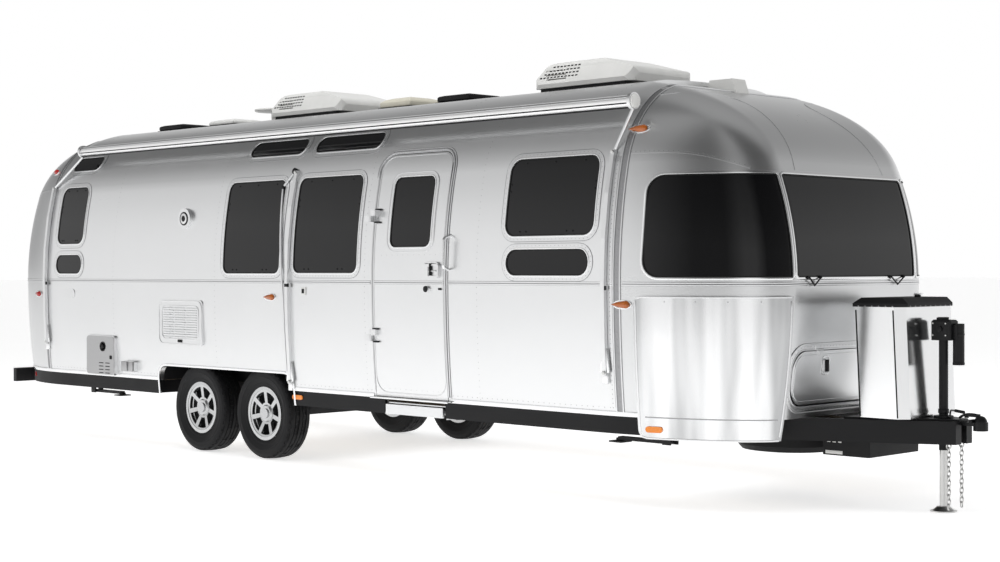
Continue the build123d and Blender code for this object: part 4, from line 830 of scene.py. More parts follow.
# %% Side windows
CURB_WINDOWS = ((-3.830, -3.386, 1.790, 2.315, 0.080), (-1.185, -0.430, 1.518, 2.268, 0.065),
                (-0.250, 0.525, 1.522, 2.272, 0.065), (2.100, 2.925, 1.776, 2.310, 0.085))
STREET_WINDOWS = ((-3.830, -3.386, 1.790, 2.315, 0.080), (-2.350, -1.950, 1.790, 2.268, 0.065),
                  (-0.250, 0.525, 1.522, 2.272, 0.065), (2.100, 2.925, 1.776, 2.310, 0.085))
SMALL_WINDOWS = ((2.122, 2.887, 1.506, 1.684, 0.085),)
CURB_SMALL = SMALL_WINDOWS + ((-3.830, -3.391, 1.515, 1.687, 0.080),)
VISTA_WINDOWS = ((-3.815, -3.363, 2.475, 2.600, 0.058), (-1.050, -0.330, 2.475, 2.600, 0.058),
                 (-0.195, 0.600, 2.475, 2.600, 0.058))
DOOR_WINDOW = (0.897, 1.338, 1.713, 2.233, 0.060)
FRAME_PROUD = 0.003
LIP_GROW, GASKET_GROW, RIVET_GROW, SHADE_OUTLINE_GROW = 0.006, -0.004, 0.024, 0.0395
HINGE_SHARES, ARM_SHARES, EDGE_DROPS = (0.17, 0.5, 0.83), (0.17, 0.24, 0.70, 0.77), (0.175, 0.225)


def window_loop(window, side, grow, step=0.03):
    """A line round a window, grown outward."""
    x0, x1, z0, z1, radius = window
    return rounded(x0 - grow, x1 + grow, z0 - grow, z1 + grow, radius + grow,
                   lambda u, v: skin(u, v, side), step)


lips, gaskets, ring_rows, screws, shade_outlines = [], [], [], [], []
for side, windows in ((-1.0, CURB_WINDOWS + CURB_SMALL + VISTA_WINDOWS),
                      (1.0, STREET_WINDOWS + SMALL_WINDOWS + VISTA_WINDOWS)):
    for window in windows:
        lips.append(window_loop(window, side, LIP_GROW))
        gaskets.append(window_loop(window, side, GASKET_GROW))
        ring_rows.append(window_loop(window, side, RIVET_GROW, 0.036))
        shade_outlines.append(window_loop(window, side, SHADE_OUTLINE_GROW, 0.04))
for side, windows in ((-1.0, CURB_WINDOWS), (1.0, STREET_WINDOWS)):
    for x0, x1, z0, z1, radius in windows:
        low, high, wide = z0 + 0.030, z1 - 0.030, x1 - x0
        dots = [(x0 + wide * share, high) for share in HINGE_SHARES]
        dots += [(x0 + wide * share, low) for share in ARM_SHARES]
        dots += [(x, z1 - tall) for x in (x0 + 0.022, x1 - 0.022) for tall in EDGE_DROPS]
        screws.append([skin(x, z, side) for x, z in dots])
trim("window_lips", lips, POLISHED, 0.010, 0.0035, lift=FRAME_PROUD, closed=True, bevel=0.0015)
trim("window_gaskets", gaskets, GASKET, 0.010, 0.0030, closed=True, bevel=0.0010, slot="black_plastic")
# The thin dark line round each ring's outer edge is painted shade.
trim("window_ring_shade_outlines", shade_outlines, PAINTED_SHADE, 0.0045, 0.0030, closed=True, bevel=0.0)
rivets("window_ring_rivets", ring_rows, lift=FRAME_PROUD, size=0.8, finish=SHADOWED)
rivets("window_screws", screws, size=1.9, finish=MOULDED)

# %% [markdown]
# ## The wrap-round front windows
# Three panes stand in one bright frame. The frame follows the nose at two heights, turns down
# behind the corner panes, and leaves a pillar with two bright lines between the panes. The rear
# window is trimmed like a side window.

# %% End windows
END_LOW, END_HIGH, FRONT_HALF, PILLAR = 1.494, 2.155, 0.690, 0.035
CORNER_REAR, CORNER_RADIUS = 3.325, 0.110
REAR_HALF, REAR_RADIUS = 0.560, 0.090


def corner_pane_loop(side, grow):
    """Round a corner pane: its rounded rear edge, its sill, the pillar and its head."""
    x0, low, high, r = CORNER_REAR - grow, END_LOW - grow, END_HIGH + grow, CORNER_RADIUS + grow
    y_end = FRONT_HALF + PILLAR - grow
    rear = quarter(x0 + r, high - r, r, 90.0, 90.0, 10) + quarter(x0 + r, low + r, r, 180.0, 90.0, 10)
    sill = corner_row(low, x0 + r, y_end, side)[1:]
    pillar = [nose(side * y_end, low + (high - low) * k / 20) for k in range(1, 20)]
    head = list(reversed(corner_row(high, x0 + r, y_end, side)))[:-1]
    return even([skin(x, z, side) for x, z in rear] + sill + pillar + head, 0.03, closed=True)


def flat_pane_loop(half, radius, grow, end=1.0, step=0.03):
    """Round the middle pane of the nose, or round the rear window."""
    return rounded(-half - grow, half + grow, END_LOW - grow, END_HIGH + grow, radius + grow,
                   lambda u, v: nose(u, v, end), step)


def rear_loop(grow, step=0.03):
    """Round the rear window."""
    return flat_pane_loop(REAR_HALF, REAR_RADIUS, grow, -1.0, step)


frames = [corner_pane_loop(-1.0, 0.008), corner_pane_loop(1.0, 0.008),
          flat_pane_loop(FRONT_HALF, 0.012, 0.008)]
trim("front_window_frames", frames, POLISHED, 0.017, 0.007, closed=True, bevel=0.0025)
end_gaskets = [corner_pane_loop(-1.0, GASKET_GROW), corner_pane_loop(1.0, GASKET_GROW),
               flat_pane_loop(FRONT_HALF, 0.014, GASKET_GROW), rear_loop(GASKET_GROW)]
trim("end_window_gaskets", end_gaskets, GASKET, 0.010, 0.0035, closed=True, bevel=0.0010,
     slot="black_plastic")
trim("rear_window_lip", [rear_loop(LIP_GROW)], POLISHED, 0.010, 0.0035, lift=FRAME_PROUD, closed=True)
rivets("rear_window_rivets", [rear_loop(RIVET_GROW, 0.036)], lift=FRAME_PROUD, size=0.8)

# %% [markdown]
# ## Rods, blocks and drums
# Round stock is a curve with a bevel that is turned into a mesh, a solid fitting is a cube with its
# edges bevelled, and a cap or a pin is a short cylinder. These helpers make the struts, links,
# cranks and housings.

# %% Rod, block and drum helpers
def rod(points, radius, smooth=True):
    """Round stock along a route."""
    curve = bpy.data.curves.new("rod", "CURVE")
    curve.dimensions = "3D"
    curve.bevel_depth = radius
    curve.bevel_resolution = 3
    curve.use_fill_caps = True
    spline = curve.splines.new("NURBS" if smooth and len(points) > 2 else "POLY")
    spline.points.add(len(points) - 1)
    for point, place in zip(spline.points, points):
        point.co = (*place, 1.0)
    spline.order_u = 3
    spline.use_endpoint_u = True
    spline.resolution_u = 6
    made = bpy.data.objects.new("rod", curve)
    bpy.context.scene.collection.objects.link(made)
    alone(made)
    bpy.ops.object.convert(target="MESH")
    return bpy.context.object


def block(size, place, turn=(0.0, 0.0, 0.0), edge=0.002, segments=2):
    """A solid fitting with softened edges."""
    bpy.ops.object.select_all(action="DESELECT")
    bpy.ops.mesh.primitive_cube_add(size=1.0, location=place, rotation=turn, scale=size)
    made = bpy.context.object
    bpy.ops.object.transform_apply(location=False, rotation=False, scale=True)
    soft = made.modifiers.new("edge", "BEVEL")
    soft.width = edge
    soft.segments = segments
    apply_all(made)
    bpy.ops.object.transform_apply(location=True, rotation=True, scale=True)
    return made


def drum(radius, length, place, along=(0.0, 0.0, 1.0), sides=32, edge=0.002, dish=0.0):
    """A short cylinder along a direction. dish sinks the middle of its outer face."""
    bpy.ops.object.select_all(action="DESELECT")
    turn = Vector(along).to_track_quat("Z", "Y").to_euler()
    bpy.ops.mesh.primitive_cylinder_add(vertices=sides, radius=radius, depth=length, location=place,
                                        rotation=turn)
    made = bpy.context.object
    if dish:
        top = max(made.data.polygons, key=lambda face: face.center.z).index
        bpy.ops.object.mode_set(mode="EDIT")
        bpy.ops.mesh.select_all(action="DESELECT")
        bpy.ops.object.mode_set(mode="OBJECT")
        made.data.polygons[top].select = True
        bpy.ops.object.mode_set(mode="EDIT")
        bpy.ops.mesh.select_mode(type="FACE")
        bpy.ops.mesh.inset(thickness=radius * 0.25, depth=-dish)
        bpy.ops.object.mode_set(mode="OBJECT")
    soft = made.modifiers.new("edge", "BEVEL")
    soft.width = edge
    soft.segments = 2
    soft.angle_limit = radians(50)
    apply_all(made)
    bpy.ops.object.transform_apply(location=True, rotation=True, scale=True)
    return made


def fitting(name, pieces, finish, body="trailer"):
    """Joins loose pieces and settles them as one."""
    return settle(join(name, pieces), finish, body)


print("rod, block and drum helpers ready")

# %% [markdown]
# ## Window struts
# At the foot of the middle pane sit two short black props. Each is a bent rod on two small feet.

# %% Struts
STRUTS = ((-0.581, -0.526, -0.448), (0.376, 0.451, 0.539))
struts = []
for y0, y1, y2 in STRUTS:
    ends = [nose(y0, 1.492), nose(y1, 1.440), nose(y2, 1.495)]
    struts.append(rod([p + outward(p) * 0.020 for p in ends], 0.0055, smooth=False))
    struts += [block((0.012, 0.026, 0.020), p + outward(p) * 0.012, edge=0.003) for p in (ends[0], ends[2])]
fitting("window_struts", struts, MOULDED)
print("struts", len(STRUTS))

# %% [markdown]
# ## Door
# The door closes under a rain bead that runs over its round top and down its front side, and a thin
# strip covers the edge on its hinge side. Its window has the lip and the gasket of the side windows,
# and a rim round them. What moves with the door rides on it, a few millimetres inside the gap.

# %% Door trims
DOOR_TOP, DOOR_RADIUS, DOOR_FOOT = 2.410, 0.130, 0.615
RAIN_RIBS = ((-0.010, 0.010, 0.009), (0.009, 0.008, 0.006))


def rain_bead(grow, foot):
    """From the hinge side's corner, over the door and down its front side."""
    x0, x1, top, r = DOOR_REAR - grow, DOOR_FRONT + grow, DOOR_TOP + grow, DOOR_RADIUS + grow
    flat = [(x0, top - r - 0.05)]
    flat += quarter(x0 + r, top - r, r, 180.0, -90.0, 12)
    flat += quarter(x1 - r, top - r, r, 90.0, -90.0, 12)
    flat += [(x1, top - r - (top - r - foot) * k / 60) for k in range(1, 61)]
    return even([skin(x, z, -1.0) for x, z in flat], 0.035)


shaded("door_rain_bead", [rain_bead(0.021, 0.625)], 0.034, RAIN_RIBS)
trim("door_hinge_edge", [up_line(DOOR_REAR - 0.010, 0.640, 2.26, -1.0, 0.06)], SATIN, 0.007, 0.003)
DOOR_RING = (DOOR_REAR, DOOR_FRONT, DOOR_FOOT, DOOR_TOP, DOOR_RADIUS)
trim("door_edge_ring", [window_loop(DOOR_RING, -1.0, -0.016, 0.04)], SATIN, 0.007, 0.003, "entry_door",
     closed=True)
trim("door_window_lip", [window_loop(DOOR_WINDOW, -1.0, 0.006)], POLISHED, 0.010, 0.0035, "entry_door",
     lift=FRAME_PROUD, closed=True)
trim("door_window_rim", [window_loop(DOOR_WINDOW, -1.0, 0.034)], SATIN, 0.007, 0.0025, "entry_door",
     lift=FRAME_PROUD, closed=True)
trim("door_window_gasket", [window_loop(DOOR_WINDOW, -1.0, -0.004)], GASKET, 0.010, 0.0030, "entry_door",
     "black_plastic", closed=True)
door_rows = [side_line(z, DOOR_REAR + 0.10, DOOR_FRONT - 0.10, -1.0, 0.06) for z in (1.655, 0.66)]
rivets("door_rivets", door_rows, "entry_door", size=0.7)
SILL_Y, SILL_Z = -1.277, 0.590
sill_size = (DOOR_FRONT - DOOR_REAR + 0.06, 0.034, 0.014)
sill = block(sill_size, ((DOOR_REAR + DOOR_FRONT) / 2, SILL_Y, SILL_Z), edge=0.003)
fitting("door_sill", [sill], POLISHED)

# %% [markdown]
# ## Front hatch
# The hatch closes in a raised ring: a flat band with a bead near each edge and a row of rivets
# between them. The ring is one rounded rectangle laid on the nose. A thin bead, the frame of the
# latch and its black lever move with the hatch.

# %% Hatch trims
HATCH_HALF, HATCH_LOW, HATCH_HIGH, HATCH_RADIUS = 0.700, 0.664, 1.022, 0.120
RING_BEADS = ((-0.018, 0.007, 0.006), (0.018, 0.007, 0.005))
RING_GROW, RING_WIDTH, RING_HEIGHT = 0.026, 0.042, 0.0025
LATCH_Y, LATCH_Z, LATCH_HALF_WIDTH, LATCH_HALF_HEIGHT = -0.337, 0.920, 0.039, 0.058


def hatch_loop(grow, step=0.035):
    return rounded(-HATCH_HALF - grow, HATCH_HALF + grow, HATCH_LOW - grow, HATCH_HIGH + grow,
                   HATCH_RADIUS + grow, nose, step)


trim("hatch_ring", [hatch_loop(RING_GROW)], SATIN, RING_WIDTH, RING_HEIGHT, closed=True)
shaded("hatch_ring_beads", [hatch_loop(RING_GROW)], 0.046, RING_BEADS, closed=True)
rivets("hatch_ring_rivets", [hatch_loop(RING_GROW, 0.036)], lift=RING_HEIGHT)
trim("hatch_inner_bead", [hatch_loop(-0.030)], SATIN, 0.006, 0.003, "front_hatch", closed=True)
latch_ring = rounded(LATCH_Y - LATCH_HALF_WIDTH, LATCH_Y + LATCH_HALF_WIDTH,
                     LATCH_Z - LATCH_HALF_HEIGHT, LATCH_Z + LATCH_HALF_HEIGHT, 0.012, nose, 0.02)
trim("hatch_latch_recess", [latch_ring], POLISHED, 0.010, 0.003, "front_hatch", closed=True)
latch_place = nose(LATCH_Y, LATCH_Z)
lever = block((0.012, 0.040, 0.080), latch_place + outward(latch_place) * 0.014, edge=0.004)
fitting("hatch_latch_lever", [lever], MOULDED, "front_hatch")
print("door and hatch trims done, latch at", latch_place[:])

# %% [markdown]
# ## Stone guards
# A guard is a polished sheet that stands off the corner of the nose. Its exact face is known only from the
# imported mesh, so a line is drawn near it and each point is moved to the nearest place on that mesh. The
# guard gets a rolled edge, a dark strip of painted shade along a crease in its lower part, and a few
# screws.

# %% Edges of the stone guards
GUARD_REAR, GUARD_LOW, GUARD_TOP, GUARD_EDGE_Y, STANDOFF = 3.277, 0.452, 1.375, 0.745, 0.029
GUARD_CREASE = 0.590


def seat_on(node, points):
    """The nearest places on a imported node."""
    return [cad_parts[node].closest_point_on_mesh(point)[1].copy() for point in points]


def stood_off(p):
    """A place on the skin, moved out to the face of a guard."""
    return p + outward(p) * STANDOFF


def guard_row(z, side):
    """A level line on a guard, from its rear edge to its front edge."""
    return [stood_off(p) for p in corner_row(z, GUARD_REAR + 0.010, GUARD_EDGE_Y + 0.008, side)]


guard_edges, guard_screws, guard_crease_shade = [], [], []
guard_heights = [GUARD_TOP - (GUARD_TOP - GUARD_LOW) * k / 30 for k in range(1, 30)]
for side in (-1.0, 1.0):
    top, low = guard_row(GUARD_TOP - 0.006, side), guard_row(GUARD_LOW + 0.008, side)
    rear = [stood_off(skin(GUARD_REAR + 0.010, z, side)) for z in guard_heights]
    front = [stood_off(nose(side * (GUARD_EDGE_Y + 0.009), z)) for z in guard_heights]
    guard_edges += [even(seat_on("rock_guards", line), 0.04) for line in (top, low, rear, front)]
    screw_row = seat_on("rock_guards", [p + Vector((0.0, 0.0, -0.030)) for p in top])
    guard_screws.append(even(screw_row, 0.22)[1:-1])
    crease = seat_on("rock_guards", [p + Vector((0.0, 0.0, GUARD_CREASE - GUARD_LOW)) for p in low[2:-2]])
    guard_crease_shade.append(even(crease, 0.012))
    guard_screws.append(even(seat_on("rock_guards", front), 0.20)[1:-1])
trim("guard_edges", guard_edges, SATIN, 0.012, 0.0035, bevel=0.0015)
# The crease strip is painted shade: a dark grey line along the fold.
trim("guard_crease_shade", guard_crease_shade, PAINTED_SHADE, 0.008, 0.0025, lift=0.0015, bevel=0.0)
rivets("guard_screws", guard_screws, size=1.3)

# %% [markdown]
# ## Awning roller
# The cloth is rolled up in a bright case with a dark slot along its face and another below it. Thin
# ribs run along the case, and a white cap on a black plate closes each end.

# %% Roller case and caps
ROLLER_Y, ROLLER_Z, ROLLER_RADIUS, ROLLER_REAR, ROLLER_FRONT = -1.150, 2.650, 0.043, -3.560, 3.150
CASE_RIB_TURNS = (150, 120, 70)
caps, cap_backs = [], []
for x, way in ((ROLLER_FRONT, 1.0), (ROLLER_REAR, -1.0)):
    caps.append(drum(0.047, 0.016, (x + way * 0.030, ROLLER_Y, ROLLER_Z), (way, 0.0, 0.0), 40, 0.005))
    cap_backs.append(drum(0.050, 0.020, (x + way * 0.011, ROLLER_Y, ROLLER_Z), (way, 0.0, 0.0), 40, 0.002))
fitting("awning_caps", caps, WHITE)
fitting("awning_cap_backs", cap_backs, MOULDED)
case_middle = (ROLLER_REAR + ROLLER_FRONT) / 2
slot_length = ROLLER_FRONT - ROLLER_REAR - 0.02
case_slots = [block((slot_length, 0.010, 0.007), (case_middle, ROLLER_Y - 0.0395, ROLLER_Z - 0.016),
                    (radians(-22), 0, 0)),
              block((slot_length, 0.020, 0.006), (case_middle, ROLLER_Y - 0.010, ROLLER_Z - 0.044),
                    edge=0.001)]
fitting("awning_slots", case_slots, MOULDED)
case_ribs = []
for turn in CASE_RIB_TURNS:
    y, z = ROLLER_Y + ROLLER_RADIUS * cos(radians(turn)), ROLLER_Z + ROLLER_RADIUS * sin(radians(turn))
    case_ribs.append(rod([(ROLLER_REAR + 0.01, y, z), (ROLLER_FRONT - 0.01, y, z)], 0.0025, smooth=False))
fitting("awning_case_ribs", case_ribs, SATIN)
print("case ribs", len(case_ribs))

# %% [markdown]
# ## Awning arms
# Three arms hold the roller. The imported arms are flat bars, and what makes them look real is where
# they are joined: a pin near the head and at the foot, a black joint half way up, and a bright
# knuckle with two short links low on the wall.

# %% Pins, joints and knuckles
ARMS = ((3.035, 0.850), (-0.310, 0.640), (-4.010, 0.850))
ARM_HEAD, ARM_JOINT = 2.322, 1.425
KNUCKLE_LINKS = ((-0.016, 0.190, 9), (0.022, 0.160, -7))
knuckles, pins, joints = [], [], []
for x, foot in ARMS:
    for z in (ARM_HEAD, foot + 0.02):
        p = skin(x, z, -1.0)
        pins.append(drum(0.013, 0.012, (p.x, p.y - 0.036, z), CURB_WAY, 20, 0.003))
    low = skin(x, foot, -1.0)
    knuckles.append(block((0.050, 0.022, 0.085), (x, low.y - 0.012, foot - 0.010), edge=0.006))
    for dx, tall, lean in KNUCKLE_LINKS:
        place = (x + dx, low.y - 0.024, foot + 0.020 + tall / 2)
        knuckles.append(block((0.022, 0.012, tall), place, (0.0, radians(lean), 0.0), 0.004))
    joint = skin(x, ARM_JOINT, -1.0)
    joints.append(block((0.040, 0.020, 0.030), (x, joint.y - 0.020, ARM_JOINT), edge=0.004))
fitting("awning_knuckles", knuckles, POLISHED)
fitting("awning_pins", pins, ZINC)
fitting("awning_joints", joints, MOULDED)
print("arms", len(ARMS), "knuckle pieces", len(knuckles))

# %% [markdown]
# ## The middle arm's second bar
# The middle arm is a pair: a second bar leaves the wall at a round pivot, turns down at an elbow and
# runs beside the first one to the foot. Both lines are laid on the skin and lifted off it, so that
# they pass over the window's frame. The front arm has a riveted backing strip beside it instead.

# %% Second bar and backing strip
HEAD, ELBOW, BEND, HEEL = (-0.345, 2.330), (-0.455, 2.205), (-0.365, 1.300), (-0.352, 0.690)
second_bar = [skin(a[0] + (b[0] - a[0]) * k / 24, a[1] + (b[1] - a[1]) * k / 24, -1.0)
              for a, b in ((ELBOW, BEND), (BEND, HEEL)) for k in range(24)]
link = [skin(HEAD[0] + (ELBOW[0] - HEAD[0]) * k / 4, HEAD[1] + (ELBOW[1] - HEAD[1]) * k / 4, -1.0)
        for k in range(5)]
trim("middle_arm_second_bar", [second_bar, link], SATIN, 0.016, 0.009, lift=0.009)
pivots = []
for (x, z), radius in ((HEAD, 0.026), (ELBOW, 0.015), (HEEL, 0.015)):
    p = skin(x, z, -1.0)
    pivots.append(drum(radius, 0.024, p + outward(p) * 0.011, outward(p), 28, 0.004))
fitting("middle_arm_pivots", pivots, MOULDED)
BACKING_X = 3.0735
backing = even([skin(BACKING_X, z / 100, -1.0) for z in range(64, 232, 3)], 0.05)
trim("arm_backing_strip", [backing], SATIN, 0.040, 0.0025)
rivets("arm_backing_rivets", [even(backing, 0.030)], lift=0.0025)

# %% [markdown]
# ## Lamps and reflectors
# Each bullet lamp stands on a bright foot, a ring round its base. The reflectors are moulded lenses
# with round ends, screwed on the skirt and on the guard, and each lies on the part under it.

# %% Lamp feet
LAMPS = ((3.210, 2.470), (3.205, 1.318), (-0.520, 1.328), (-4.175, 1.322), (-4.160, 2.487))
FOOT_BACK, FOOT_LONG, FOOT_TALL = 0.030, 0.070, 0.026
feet = []
for x, z in LAMPS:
    for side in (-1.0, 1.0):
        turns = [2 * pi * k / 28 for k in range(28)]
        loop = [skin(x - FOOT_BACK + FOOT_LONG * cos(t), z + FOOT_TALL * sin(t), side) for t in turns]
        feet.append(even(loop, 0.012, closed=True))
trim("lamp_feet", feet, POLISHED, 0.010, 0.006, closed=True, bevel=0.002)
print("lamp feet", len(feet))

# %% [markdown]
# ## Lens blocks
# A lens is a flat block whose four upright edges are bevelled until its ends are round. The same
# helper makes the heater's plate, with a smaller corner.

# %% Reflectors
def lens(place, facing, along, length, height, corner=None, thick=0.010):
    """A block with round ends or corners that lies on a face."""
    normal = Vector(facing).normalized()
    run = Vector(along).normalized()
    rise = normal.cross(run)
    bpy.ops.object.select_all(action="DESELECT")
    bpy.ops.mesh.primitive_cube_add(size=1.0, scale=(length, height, thick))
    made = bpy.context.object
    bpy.ops.object.transform_apply(location=True, rotation=True, scale=True)
    bpy.ops.object.mode_set(mode="EDIT")
    bpy.ops.mesh.select_all(action="DESELECT")
    bpy.ops.mesh.select_mode(type="EDGE")
    bpy.ops.object.mode_set(mode="OBJECT")
    for edge in made.data.edges:
        first, last = (made.data.vertices[index].co for index in edge.vertices)
        edge.select = abs(first.z - last.z) > thick / 2
    bpy.ops.object.mode_set(mode="EDIT")
    bpy.ops.mesh.bevel(offset=corner or height * 0.47, segments=6)
    bpy.ops.object.mode_set(mode="OBJECT")
    matrix = Matrix((run, rise, normal)).transposed().to_4x4()
    matrix.translation = Vector(place)
    made.data.transform(matrix)
    return made


SKIRT_REFLECTOR, GUARD_REFLECTOR, REAR_REFLECTOR = (-0.258, 0.536), (3.385, 0.518), (-4.50, 0.540)
skirt_half = -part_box("side_skirts")[0][1]
amber = []
for side in (-1.0, 1.0):
    place = (SKIRT_REFLECTOR[0], side * (skirt_half + 0.004), SKIRT_REFLECTOR[1])
    amber.append(lens(place, (0, side, 0), (1, 0, 0), 0.125, 0.036))
for side in (-1.0, 1.0):
    p = skin(*GUARD_REFLECTOR, side)
    n = outward(p)
    spot = seat_on("rock_guards", [p + n * 0.05])[0]
    amber.append(lens(spot + n * 0.004, n, Vector((n.y * side, n.x, 0.0)), 0.120, 0.040))
fitting("side_reflectors", amber, ORANGE)
red = []
for side in (-1.0, 1.0):
    p = skin(*REAR_REFLECTOR, side)
    n = outward(p)
    spot = seat_on("side_skirts", [p])[0]
    red.append(lens(spot + n * 0.003, n, Vector((n.y, -n.x, 0.0)), 0.060, 0.045))
fitting("rear_reflectors", red, RED)
print("reflectors", len(amber), "amber", len(red), "red")

# %% [markdown]
# ## The heater's door and the outlets
# The heater's door is a grey plate with rounded corners, a round port, a square latch and two
# columns of slots. Beside it are two outlet covers. All that is black on the service doors goes
# into one list, and all that is grey into another.

# %% Heater door and outlets
FACE_Y = -1.296
HEATER_DOOR, HEATER_LATCH = (-3.062, FACE_Y, 0.777), (-2.886, FACE_Y - 0.003, 0.761)
PORT = (-3.018, FACE_Y - 0.003, 0.856)
SLOT_COLUMNS, SLOT_TOP, SLOT_STEP = (-3.044, -2.940), 0.708, 0.030
plates = [lens(HEATER_DOOR, CURB_WAY, (1, 0, 0), 0.452, 0.346, 0.034, 0.006)]
dark = [drum(0.044, 0.012, PORT, CURB_WAY, 36, 0.002, dish=0.006),
        drum(0.020, 0.016, PORT, CURB_WAY, 24, 0.002),
        block((0.034, 0.010, 0.034), HEATER_LATCH, edge=0.004)]
dark += [block((0.074, 0.008, 0.009), (column, FACE_Y - 0.001, SLOT_TOP - SLOT_STEP * row), edge=0.003)
         for column in SLOT_COLUMNS for row in range(4)]
for x, wide in ((-2.662, 0.090), (-2.560, 0.066)):
    plates.append(block((wide, 0.014, 0.086), (x, FACE_Y - 0.004, 0.691), edge=0.005))
print("heater slots", len(SLOT_COLUMNS) * 4)

# %% [markdown]
# ## The refrigerator's vent and the flue
# The vent has two raised rims and thin louvres tilted outward, in three columns. The flue is a dark
# round plate with a bright ring in it. Its face is found by a ray from the side.

# %% Vent and flue
VENT_RIMS = ((-2.126, -1.478, 0.904, 1.290, 0.060), (-2.082, -1.522, 0.946, 1.250, 0.048))
LOUVRE_COLUMNS, LOUVRE_LOW, LOUVRE_STEP = (-1.975, -1.802, -1.629), 0.975, 0.0205
vent_rims = [rounded(x0 + 0.010, x1 - 0.010, z0 + 0.010, z1 - 0.010, radius,
                     lambda u, v: Vector((u, FACE_Y, v)), 0.03) for x0, x1, z0, z1, radius in VENT_RIMS]
trim("fridge_vent_rims", vent_rims, SATIN, 0.009, 0.004, closed=True, facing=lambda p: CURB_WAY)
louvres = []
for x in LOUVRE_COLUMNS:
    for row in range(13):
        place = (x, FACE_Y - 0.002, LOUVRE_LOW + LOUVRE_STEP * row)
        louvres.append(block((0.150, 0.010, 0.006), place, (radians(25), 0, 0), edge=0.0015, segments=1))
fitting("fridge_vent_louvres", louvres, SATIN)
dark.append(block((0.060, 0.010, 0.026), (-1.802, FACE_Y - 0.003, 0.940), edge=0.004))
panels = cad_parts["service_panels"]
flue, flue_way = panels.ray_cast((-1.762, -2.0, 1.984), (0.0, 1.0, 0.0))[1:3]
dark.append(drum(0.058, 0.006, flue + flue_way * 0.001, flue_way, 32, 0.002))
flue_ring = drum(0.046, 0.006, flue + flue_way * 0.003, flue_way, 32, 0.002)
dark.append(drum(0.026, 0.006, flue + flue_way * 0.005, flue_way, 24, 0.002))
fitting("service_slots", dark, MOULDED)
fitting("flue_rings", [flue_ring], SATIN)
fitting("service_plates", plates, PLATE)
print("louvres", len(louvres), "flue face", flue[:], flue_way[:])

# %% [markdown]
# ## The awning's lock
# A small white box with a black key switch sits on the wall under the middle windows.

# %% Awning lock
LOCK_X, LOCK_Z = -0.115, 1.380
lock_box = block((0.050, 0.012, 0.060), (LOCK_X, -1.2935, LOCK_Z), edge=0.003)
fitting("awning_lock_box", [lock_box], WHITE)
lock_key = block((0.028, 0.006, 0.036), (LOCK_X, -1.3005, LOCK_Z), edge=0.002)
fitting("awning_lock_key", [lock_key], MOULDED)
print("awning lock at", LOCK_X, LOCK_Z)

# %% [markdown]
# ## Air conditioner slots
# The air conditioners draw air through rows of slots in their rear flanks. A ray from each side
# finds the flank, and each slot is a small dark block laid on it. Each higher row is one slot
# shorter and starts a little further forward.

# %% Slots in the flanks
SHROUD_FRONTS, SLOT_ROWS = (2.475, -0.795), (2.985, 3.012, 3.039, 3.066)
FIRST_SLOT, ROW_SHIFT, SHROUD_SLOT_STEP = 0.925, 0.034, 0.036


def on_shroud(x, side, z):
    """The place and facing on an air conditioner's flank."""
    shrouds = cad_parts["air_conditioner_shrouds"]
    hit, place, normal, _ = shrouds.ray_cast(Vector((x, side * 0.8, z)), Vector((0.0, -side, 0.0)))
    return (place, normal) if hit else (None, None)


shroud_slots = []
run = Vector((1.0, 0.0, 0.0))
for front in SHROUD_FRONTS:
    for side in (-1.0, 1.0):
        for row, z in enumerate(SLOT_ROWS):
            for k in range(11 - row):
                x = front - FIRST_SLOT + ROW_SHIFT * row + SHROUD_SLOT_STEP * k
                place, normal = on_shroud(x, side, z)
                if place:
                    mark = block((0.024, 0.012, 0.004), (0, 0, 0), edge=0.0015, segments=1)
                    matrix = Matrix((run, normal.cross(run).normalized(), normal)).transposed().to_4x4()
                    matrix.translation = place
                    mark.data.transform(matrix)
                    shroud_slots.append(mark)
fitting("shroud_slots", shroud_slots, MOULDED)
print("shroud slots", len(shroud_slots))

# %% [markdown]
# ## Roof vent lids
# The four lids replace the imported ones. Each is a moulded dome: a box whose top face is inset and
# raised in three steps. Three are flat, two of them dark and one white, and the fourth is cream
# and higher.

# %% Vent lids
LID_FOOT, LID_HALF_X, LID_HALF_Y = 2.9065, 0.190, 0.200
LID_STEPS = ((0.035, 0.55), (0.050, 0.30), (0.060, 0.15))
VENTS = ((-3.560, 2.966, MOULDED, 0.022), (-2.730, 2.966, WHITE, 0.030),
         (-0.270, 2.994, CREAM, 0.044), (0.440, 2.966, MOULDED, 0.018))


def vent_lid(x, low, high, crown):
    """A box up to high, with a crown raised on it."""
    bpy.ops.object.select_all(action="DESELECT")
    bpy.ops.mesh.primitive_cube_add(size=1.0, location=(x, 0.0, (low + high) / 2),
                                    scale=(2 * LID_HALF_X, 2 * LID_HALF_Y, high - low))
    made = bpy.context.object
    bpy.ops.object.transform_apply(location=True, rotation=True, scale=True)
    bpy.ops.object.mode_set(mode="EDIT")
    bpy.ops.mesh.select_mode(type="FACE")
    bpy.ops.mesh.select_all(action="DESELECT")
    bpy.ops.object.mode_set(mode="OBJECT")
    max(made.data.polygons, key=lambda face: face.center.z).select = True
    bpy.ops.object.mode_set(mode="EDIT")
    for inset, share in LID_STEPS:
        bpy.ops.mesh.inset(thickness=inset)
        bpy.ops.transform.translate(value=(0.0, 0.0, crown * share))
    bpy.ops.object.mode_set(mode="OBJECT")
    soft = made.modifiers.new("edge", "BEVEL")
    soft.width = 0.010
    soft.segments = 3
    soft.angle_limit = radians(12)
    apply_all(made)
    return made


for x, top, finish, crown in VENTS:
    lid = vent_lid(x, LID_FOOT, top - crown, crown)
    settle(lid, finish)
    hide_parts("roof_vent_lids")
print("vents", len(VENTS))

# %% [markdown]
# ## The gas cover
# The cover's four edges carry dark strips, and the brim of its lid is riveted at the front and on
# both sides. The cover leans back a little, so its edges are lines between two places.

